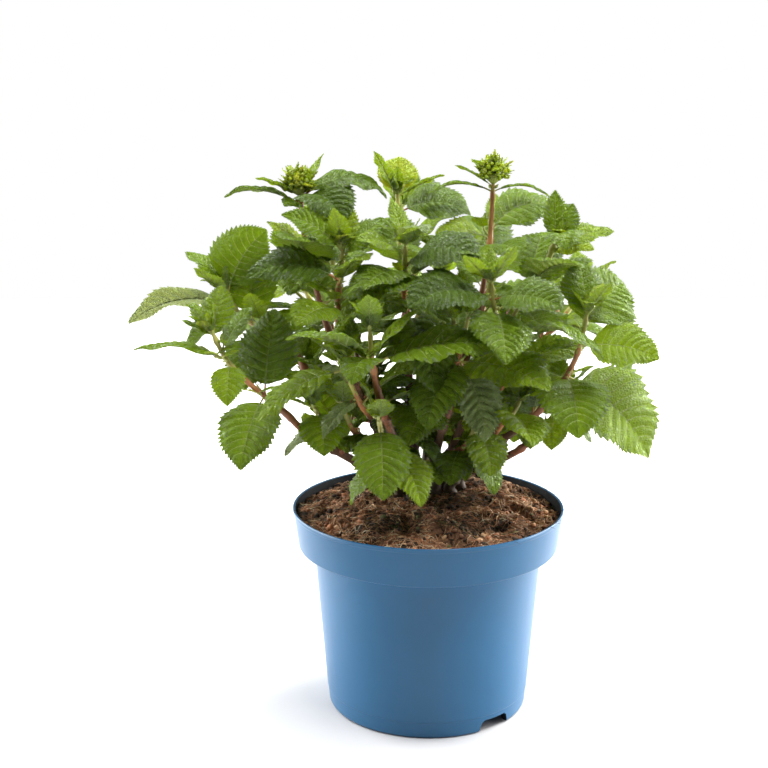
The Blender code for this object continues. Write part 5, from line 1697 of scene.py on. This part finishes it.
def fibre_lines(x, y, lot):
    """Bent lines that lie on the peat, as places for each fibre and each of its points."""
    heading = lot.uniform(0, 2 * np.pi, FIBRES)[:, None]
    bend = lot.normal(0.0, FIBRE_BEND, FIBRES)[:, None]
    length = lot.uniform(*FIBRE_LENGTHS, FIBRES)[:, None]
    way = np.linspace(-0.5, 0.5, FIBRE_POINTS)[None, :]
    turn = heading + bend * way
    line_x = x[:, None] + length * way * np.cos(turn)
    line_y = y[:, None] + length * way * np.sin(turn)
    out = np.hypot(line_x, line_y)
    keep = np.minimum(1.0, (soil_side(SOIL_EDGE) - 0.001) / np.maximum(out, 1e-6))
    line_x, line_y = line_x * keep, line_y * keep
    tilt = lot.normal(0.0, FIBRE_TILT, FIBRES)[:, None] * length * way
    arch = lot.uniform(0.0, 1.0, FIBRES)[:, None] * FIBRE_ARCH * length * (1 - (2 * way) ** 2)
    height = soil_surface(line_x, line_y) + FIBRE_LIFT + arch + tilt
    return np.stack([line_x, line_y, height], axis=-1)


def add_fibres(pile, lines, radii, looks):
    """Three-sided fibres along the lines, tapering at both ends."""
    count, points, _ = lines.shape
    along = np.gradient(lines, axis=1)
    along /= np.linalg.norm(along, axis=-1)[..., None]
    first = np.cross(along, np.array([0.13, 0.07, 1.0]))
    first /= np.linalg.norm(first, axis=-1)[..., None]
    second = np.cross(along, first)
    taper = (1.0 - FIBRE_TAPER * np.abs(np.linspace(-1, 1, points)) ** 3)[None, :, None]
    angle = 2 * np.pi * np.arange(3) / 3
    ring = first[:, :, None] * np.cos(angle)[:, None] + second[:, :, None] * np.sin(angle)[:, None]
    places = lines[:, :, None] + ring * (radii[:, None, None] * taper)[..., None]
    quads = grid_faces(points, 3, closed=True)
    shift = (np.arange(count) * points * 3)[:, None, None]
    pile.add(places, (quads[None] + shift).reshape(-1, 4), np.repeat(looks, len(quads)))
    ends = np.array([[2, 1, 0], [points * 3 - 3, points * 3 - 2, points * 3 - 1]])
    pile.add(places, (ends[None] + shift).reshape(-1, 3), np.repeat(looks, 2))


def add_lumps(pile, count, sizes, squash, mixes, lot):
    """Small broken lumps that lie on the peat, each a battered twenty-sided grain."""
    form = bmesh.new()
    bmesh.ops.create_icosphere(form, subdivisions=1, radius=1.0)
    ball = np.array([vertex.co[:] for vertex in form.verts])
    faces = np.array([[vertex.index for vertex in face.verts] for face in form.faces])
    form.free()
    x, y = scattered(count, soil_side(SOIL_EDGE) - GRAIN_MARGIN, lot)
    looks = peat_looks(x, y, mixes, lot)
    size = sizes[0] + (sizes[1] - sizes[0]) * lot.uniform(0, 1, count) ** 2
    stretch = lot.uniform(*GRAIN_STRETCH, (count, 1, 3)) * np.array([1.0, 1.0, squash])
    battered = 1 + lot.normal(0, GRAIN_BATTER, (count, len(ball), 1))
    grains = ball[None] * stretch * battered * size[:, None, None]
    turn, lean = lot.uniform(0, 2 * np.pi, count), lot.normal(0, GRAIN_LEAN, count)
    cos, sin = np.cos(turn)[:, None], np.sin(turn)[:, None]
    spun = np.stack([
        grains[..., 0] * cos - grains[..., 1] * sin,
        grains[..., 0] * sin + grains[..., 1] * cos,
        grains[..., 2] + lean[:, None] * grains[..., 0],
    ], axis=-1)
    centre = np.stack([x, y, soil_surface(x, y) + size * squash * GRAIN_SINK], axis=-1)
    shift = (np.arange(count) * len(ball))[:, None, None]
    pile.add(spun + centre[:, None], (faces[None] + shift).reshape(-1, 3), np.repeat(looks, len(faces)))


def stray_lines(lot):
    """Stray hairs that reach out over the pot's lip."""
    turn = lot.uniform(0, 2 * np.pi, STRAYS)
    length = lot.uniform(*STRAY_LENGTHS, STRAYS)
    way = np.linspace(0.0, 1.0, FIBRE_POINTS)[None, :]
    out = (RIM_RADIUS - STRAY_INSET) + length[:, None] * way
    bent = turn[:, None] + lot.normal(0, STRAY_BEND, STRAYS)[:, None] * way
    height = lot.uniform(*STRAY_HEIGHTS, STRAYS)[:, None]
    rise = POT_HEIGHT - STRAY_DEPTH + height * np.sin(np.pi * STRAY_ARCH * way)
    return np.stack([out * np.cos(bent), out * np.sin(bent), rise], axis=-1)


def peat_looks(x, y, mixes, lot):
    """A look for each place, from one mix where the peat is dark and wet and another where it is dry."""
    wet = lattice_noise(x / PATCH, y / PATCH, SEED + 5) > WET_LEVEL
    found = [lot.choice(list(mix), len(x), p=list(mix.values())) for mix in mixes]
    return np.where(wet, *found)


def make_soil(skins):
    lot = np.random.default_rng(SEED)
    pile = Pile()
    add_soil_body(pile)
    x, y = scattered(FIBRES, soil_side(SOIL_EDGE) - FIBRE_MARGIN, lot)
    lines = fibre_lines(x, y, lot)
    add_fibres(pile, lines, lot.uniform(*FIBRE_RADII, FIBRES), peat_looks(x, y, FIBRE_MIXES, lot))
    add_lumps(pile, CRUMBS, CRUMB_SIZES, CRUMB_SQUASH, CRUMB_MIXES, lot)
    add_lumps(pile, CHIPS, CHIP_SIZES, CHIP_SQUASH, CHIP_MIXES, lot)
    add_fibres(pile, stray_lines(lot), np.full(STRAYS, STRAY_RADIUS), np.full(STRAYS, "peat_dark"))
    return pile.piece("peat", skins)


# ---------------------------------------------------------------------------------------------------------
# Materials


class Skin:
    """A material with its nodes: one Principled shader, and helpers that add to it."""

    def __init__(self, name):
        self.material = bpy.data.materials.new(name)
        self.material.use_nodes = True
        self.tree = self.material.node_tree
        self.shader = self.tree.nodes["Principled BSDF"]
        self.place = self.tree.nodes.new("ShaderNodeTexCoord").outputs["Object"]

    def node(self, kind, **values):
        made = self.tree.nodes.new(kind)
        for key, value in values.items():
            if key in made.inputs:
                made.inputs[key].default_value = value
            else:
                setattr(made, key, value)
        return made

    def join(self, source, target):
        self.tree.links.new(source, target)

    def noise(self, scale, detail=3.0, stretch=None):
        place = self.place
        if stretch:
            mapping = self.node("ShaderNodeMapping")
            mapping.inputs["Scale"].default_value = stretch
            self.join(place, mapping.inputs["Vector"])
            place = mapping.outputs["Vector"]
        made = self.node("ShaderNodeTexNoise", Scale=scale, Detail=detail, Roughness=0.6)
        self.join(place, made.inputs["Vector"])
        return made.outputs["Fac"]

    def veinlets(self, scale):
        """The net of fine veins: 0 along them, rising to 1 between them."""
        cells = self.node("ShaderNodeTexVoronoi", Scale=scale, feature="DISTANCE_TO_EDGE")
        self.join(self.place, cells.inputs["Vector"])
        spread = self.node("ShaderNodeMapRange")
        spread.inputs["From Max"].default_value = 0.22
        self.join(cells.outputs["Distance"], spread.inputs["Value"])
        return spread.outputs["Result"]

    def mixed(self, first, second, share):
        """One pattern laid over another."""
        blend = self.node("ShaderNodeMix", data_type="FLOAT")
        blend.inputs["Factor"].default_value = share
        self.join(first, blend.inputs["A"])
        self.join(second, blend.inputs["B"])
        return blend.outputs["Result"]

    def colour(self, factor, low, high, start=0.3, stop=0.7):
        ramp = self.node("ShaderNodeValToRGB")
        ramp.color_ramp.elements[0].position = start
        ramp.color_ramp.elements[0].color = (*low, 1.0)
        ramp.color_ramp.elements[1].position = stop
        ramp.color_ramp.elements[1].color = (*high, 1.0)
        self.join(factor, ramp.inputs["Fac"])
        self.join(ramp.outputs["Color"], self.shader.inputs["Base Color"])

    def roughness(self, factor, low, high):
        spread = self.node("ShaderNodeMapRange")
        spread.inputs["To Min"].default_value = low
        spread.inputs["To Max"].default_value = high
        self.join(factor, spread.inputs["Value"])
        self.join(spread.outputs["Result"], self.shader.inputs["Roughness"])

    def bump(self, heights):
        """Bumps laid over one another, each a height with its strength and its depth in metres."""
        normal = None
        for height, strength, depth in heights:
            made = self.node("ShaderNodeBump", Strength=strength, Distance=depth)
            self.join(height, made.inputs["Height"])
            if normal:
                self.join(normal, made.inputs["Normal"])
            normal = made.outputs["Normal"]
        self.join(normal, self.shader.inputs["Normal"])

    def glow(self, colour, share):
        """Light that comes through from the far side."""
        through = self.node("ShaderNodeBsdfTranslucent")
        through.inputs["Color"].default_value = (*colour, 1.0)
        mix = self.node("ShaderNodeMixShader", Fac=share)
        self.join(self.shader.outputs["BSDF"], mix.inputs[1])
        self.join(through.outputs["BSDF"], mix.inputs[2])
        output = self.tree.nodes["Material Output"]
        self.join(mix.outputs["Shader"], output.inputs["Surface"])


def scaled(colour, factor):
    return tuple(min(1.0, value * factor) for value in colour)


def leaf_skin(name, colour, gloss, through):
    skin = Skin(name)
    net = skin.veinlets(430.0)
    mottle = skin.mixed(skin.noise(150.0, 4.0), net, 0.45)
    skin.colour(mottle, scaled(colour, 1.45), scaled(colour, 0.76), 0.18, 0.62)
    skin.roughness(skin.noise(90.0), gloss - 0.05, gloss + 0.14)
    skin.bump([
        (net, 1.0, 0.0016),
        (skin.noise(240.0, 3.0), 0.5, 0.0022),
        (skin.noise(1400.0, 2.0), 0.3, 0.0003),
    ])
    skin.shader.inputs["Specular IOR Level"].default_value = 0.26
    glow = (min(1.0, colour[0] * 2.6 + 0.07), min(1.0, colour[1] * 2.2 + 0.09), colour[2] * 2.4)
    skin.glow(glow, through)
    return skin.material


def stem_skin(name, colour, gloss, relief):
    skin = Skin(name)
    grain = skin.noise(180.0, 5.0, (1.0, 1.0, 0.35))
    skin.colour(grain, scaled(colour, 0.62), scaled(colour, 1.30), 0.25, 0.75)
    skin.roughness(skin.noise(400.0), gloss - 0.08, gloss + 0.10)
    skin.bump([(skin.noise(700.0, 4.0, (1.0, 1.0, 0.3)), relief, 0.0005)])
    return skin.material


def peat_skin(name, colour):
    skin = Skin(name)
    skin.colour(skin.noise(700.0, 5.0), scaled(colour, 0.55), scaled(colour, 1.40), 0.25, 0.75)
    skin.roughness(skin.noise(500.0), 0.82, 0.98)
    skin.bump([(skin.noise(1500.0, 4.0), 0.8, 0.0008)])
    skin.shader.inputs["Specular IOR Level"].default_value = 0.25
    return skin.material


def plastic_skin(name, colour, gloss, specular):
    skin = Skin(name)
    skin.colour(skin.noise(14.0, 3.0), scaled(colour, 0.95), scaled(colour, 1.05))
    skin.roughness(skin.noise(60.0, 4.0, (1.0, 1.0, 0.2)), gloss - 0.03, gloss + 0.06)
    skin.bump([
        (skin.noise(45.0, 2.0, (1.0, 1.0, 0.15)), 0.06, 0.0010),
        (skin.noise(2600.0, 2.0), 0.10, 0.0001),
    ])
    skin.shader.inputs["Specular IOR Level"].default_value = specular
    return skin.material


def make_skins():
    skins = {}
    for tint, colour in GREENS.items():
        # The pale green, a painted sheen and backlight, lets less light through
        through = 0.30 if tint == "pale" else 0.38
        skins["leaf_" + tint] = leaf_skin("leaf_" + tint, colour, 0.22, through)
        skins["under_" + tint] = leaf_skin("under_" + tint, UNDER_GREENS[tint], 0.55, 0.8 * through)
        skins["vein_" + tint] = leaf_skin("vein_" + tint, VEIN_GREENS[tint], 0.42, 0.26)
    skins["under_vein"] = leaf_skin("under_vein", UNDER_VEIN, 0.5, 0.2)
    for look, colour in STEM_COLOURS.items():
        woody = look in WOODY
        skins[look] = stem_skin(look, colour, 0.72 if woody else 0.46, 0.7 if woody else 0.35)
    for look, colour in PEATS.items():
        skins[look] = peat_skin(look, colour)
    skins["pot_outside"] = plastic_skin("pot_outside", POT_BLUE, 0.30, 0.42)
    skins["pot_inside"] = plastic_skin("pot_inside", POT_BLACK, 0.70, 0.15)
    return skins


# ---------------------------------------------------------------------------------------------------------
# The plant's pieces


def make_bough(name, sprays, skins):
    """A bough in one piece with its low twigs, and their leaves in another."""
    dice = random.Random(f"{SEED} bark {name}")
    points, radii = bough_axis(name)
    axis = [points[0] - BOUGH_SUNK, *points[1:]]
    pile, leaves = Pile(), Pile()
    nodes = [
        FIRST_BOUGH_NODE + BOUGH_NODE_STEP * number + dice.uniform(-BOUGH_NODE_SPREAD, BOUGH_NODE_SPREAD)
        for number in range(BOUGH_NODES)
    ]
    add_limb(pile, axis, radii, BOUGH_ZONES, dice, nodes, BOUGH_ROUGHNESS, BOUGH_SIDES, BARK_STEP)
    for twig, found in sprays:
        add_limb(pile, twig, [SPRAY_RADIUS] * len(twig), TWIG_ZONES, dice)
        for leaf, tint in found:
            add_leaf(leaves, pile, leaf, tint, dice)
    pieces = [pile.piece(name + "_bark", skins)]
    if sprays:
        pieces.append(leaves.piece(name + "_leaves", skins))
    for piece in pieces:
        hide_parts(name)
    return pieces


def rooted(name, points):
    """A shoot's axis with its foot carried on into the limb that it grows from."""
    bough, share = SHOOTS[name][:2]
    limb, _ = bough_axis(bough)
    if share >= 1.0:
        return [points[0] - (points[1] - points[0]).normalized() * SHOOT_SUNK, *points[1:]]
    place, _ = along(limb, share)
    return [place.lerp(points[0], SHOOT_SUNK_SHARE), *points[1:]]


def make_mass(name, grown, skins):
    """One shoot: its stem, twigs and buds in one piece, its leaves in another."""
    dice = random.Random(f"{SEED} detail {name}")
    points, radii, twigs, found = grown
    stems, leaves = Pile(), Pile()
    axis = rooted(name, points)
    reach = sum((b - a).length for a, b in zip(points, points[1:]))
    nodes = sorted({round(along_share(points, leaf.root) * reach, 3) for leaf, _ in found})
    stout = [radii[0] * SHOOT_FLARE, *radii[1:]]
    zones = FLOWER_ZONES if name in FLOWER_SHOOTS else SHOOT_ZONES
    add_limb(stems, axis, stout, zones, dice, nodes, STEM_ROUGHNESS, STEM_SIDES, BARK_STEP)
    for twig, twig_radii in twigs:
        add_limb(stems, twig, twig_radii, TWIG_ZONES, dice)
    for leaf, tint in found:
        add_leaf(leaves, stems, leaf, tint, dice)
        share = along_share(points, leaf.root)
        place, direction = along(points, share)
        if (place - leaf.root).length < 0.001 and share < 0.99:
            radius = radii[0] + (radii[-1] - radii[0]) * share
            add_axil_bud(leaves, stems, leaf, direction, radius, dice)
    direction = (points[-1] - points[-2]).normalized()
    if name in FLOWER_SHOOTS:
        add_flower_bud(leaves, stems, points[-1], direction, dice)
    else:
        add_crown_bud(leaves, stems, points[-1], direction, math.radians(SHOOTS[name][4]), dice)
    stem_piece = stems.piece(name + "_stems", skins)
    leaf_piece = leaves.piece(name + "_leaves", skins)
    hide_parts(name)
    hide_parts(name)
    return stem_piece, leaf_piece


def along_share(points, place):
    """How far along a limb the nearest point to a place is, as a share of its length."""
    spans = [(b - a).length for a, b in zip(points, points[1:])]
    walked, best = 0.0, (math.inf, 0.0)
    for a, b, span in zip(points, points[1:], spans):
        way = max(0.0, min(1.0, (place - a).dot(b - a) / span**2))
        best = min(best, ((a.lerp(b, way) - place).length, walked + way * span))
        walked += span
    return best[1] / sum(spans)


# ---------------------------------------------------------------------------------------------------------
# Floor, lights and camera


def make_floor():
    form = bmesh.new()
    bmesh.ops.create_grid(form, x_segments=4, y_segments=4, size=FLOOR_HALF)
    mesh = bpy.data.meshes.new("floor")
    form.to_mesh(mesh)
    form.free()
    floor = linked("floor", mesh)
    floor.location.z = -0.0004
    skin = Skin("pale_floor")
    # Painted light: darker near the pot and lighter further out, evening out the lamps' falloff over the
    # floor.
    out = skin.node("ShaderNodeVectorMath", operation="LENGTH")
    skin.join(skin.place, out.inputs[0])
    spread = skin.node("ShaderNodeMapRange")
    spread.inputs["From Min"].default_value = FLOOR_NEAR
    spread.inputs["From Max"].default_value = FLOOR_FAR
    skin.join(out.outputs["Value"], spread.inputs["Value"])
    shade = skin.mixed(spread.outputs["Result"], skin.noise(3.0), 0.04)
    skin.colour(shade, (0.48, 0.48, 0.49), (0.92, 0.92, 0.92), 0.0, 1.0)
    skin.roughness(skin.noise(20.0), 0.65, 0.75)
    mesh.materials.append(skin.material)


def make_card():
    """A dark card on the camera's side, unseen by it, so that pot and crown don't go flat."""
    form = bmesh.new()
    bmesh.ops.create_grid(form, x_segments=1, y_segments=1, size=0.5)
    mesh = bpy.data.meshes.new("dark_card")
    form.to_mesh(mesh)
    form.free()
    card = linked("dark_card", mesh)
    card.scale = (CARD_SIZE[0], CARD_SIZE[1], 1.0)
    card.location = CARD_PLACE
    card.rotation_euler = (math.radians(90), 0.0, 0.0)
    card.visible_camera = False
    skin = Skin("dark_card")
    skin.colour(skin.noise(4.0), (0.02, 0.02, 0.02), (0.03, 0.03, 0.03))
    mesh.materials.append(skin.material)


def area_light(name, place, aim, size, power, spread=HALF_TURN):
    light = bpy.data.lights.new(name, "AREA")
    light.shape = "RECTANGLE"
    light.size, light.size_y = size
    light.energy = power
    light.spread = spread
    obj = bpy.data.objects.new(name, light)
    bpy.context.scene.collection.objects.link(obj)
    obj.location = place
    obj.visible_camera = False
    obj.rotation_euler = (Vector(aim) - Vector(place)).to_track_quat("-Z", "Y").to_euler()


def make_lights():
    for name, place, size, power in LIGHTS:
        area_light(name, place, LIGHT_AIM, size, power)
    for name, place, size, power in GRID_LIGHTS:
        area_light(name, place, GRID_AIM, size, power, GRID_SPREAD)
    world = bpy.data.worlds.new("studio")
    world.use_nodes = True
    tree = world.node_tree
    glow = tree.nodes["Background"]
    glow.inputs["Color"].default_value = (1.0, 1.0, 1.0, 1.0)
    glow.inputs["Strength"].default_value = WORLD_STRENGTH
    backdrop = tree.nodes.new("ShaderNodeBackground")
    backdrop.inputs["Color"].default_value = (1.0, 1.0, 1.0, 1.0)
    mix = tree.nodes.new("ShaderNodeMixShader")
    tree.links.new(tree.nodes.new("ShaderNodeLightPath").outputs["Is Camera Ray"], mix.inputs[0])
    tree.links.new(glow.outputs["Background"], mix.inputs[1])
    tree.links.new(backdrop.outputs["Background"], mix.inputs[2])
    tree.links.new(mix.outputs["Shader"], tree.nodes["World Output"].inputs["Surface"])
    bpy.context.scene.world = world
    bpy.context.scene.view_settings.view_transform = "Standard"


def make_camera():
    camera = bpy.data.cameras.new("camera")
    camera.sensor_width = 36.0
    camera.lens = FOCAL_PIXELS / FRAME_PIXELS * camera.sensor_width
    obj = bpy.data.objects.new("camera", camera)
    bpy.context.scene.collection.objects.link(obj)
    obj.location = CAMERA_PLACE
    obj.rotation_euler = (math.radians(90.0 - CAMERA_DOWN), 0.0, 0.0)
    bpy.context.scene.camera = obj


# ---------------------------------------------------------------------------------------------------------
# All of it


def main():
    skins = make_skins()
    pot = make_pot(skins)
    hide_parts("pot")
    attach(pot, "root")
    peat = make_soil(skins)
    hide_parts("soil")
    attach(peat, "root")
    grown, sprays = grow_plant()
    for name in BOUGHS:
        for piece in make_bough(name, sprays[name], skins):
            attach(piece, "root")
    for name in SHOOTS:
        stem_piece, leaf_piece = make_mass(name, grown[name], skins)
        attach(stem_piece, "root")
        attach(leaf_piece, "root")
    make_floor()
    make_card()
    make_lights()
    make_camera()


main()
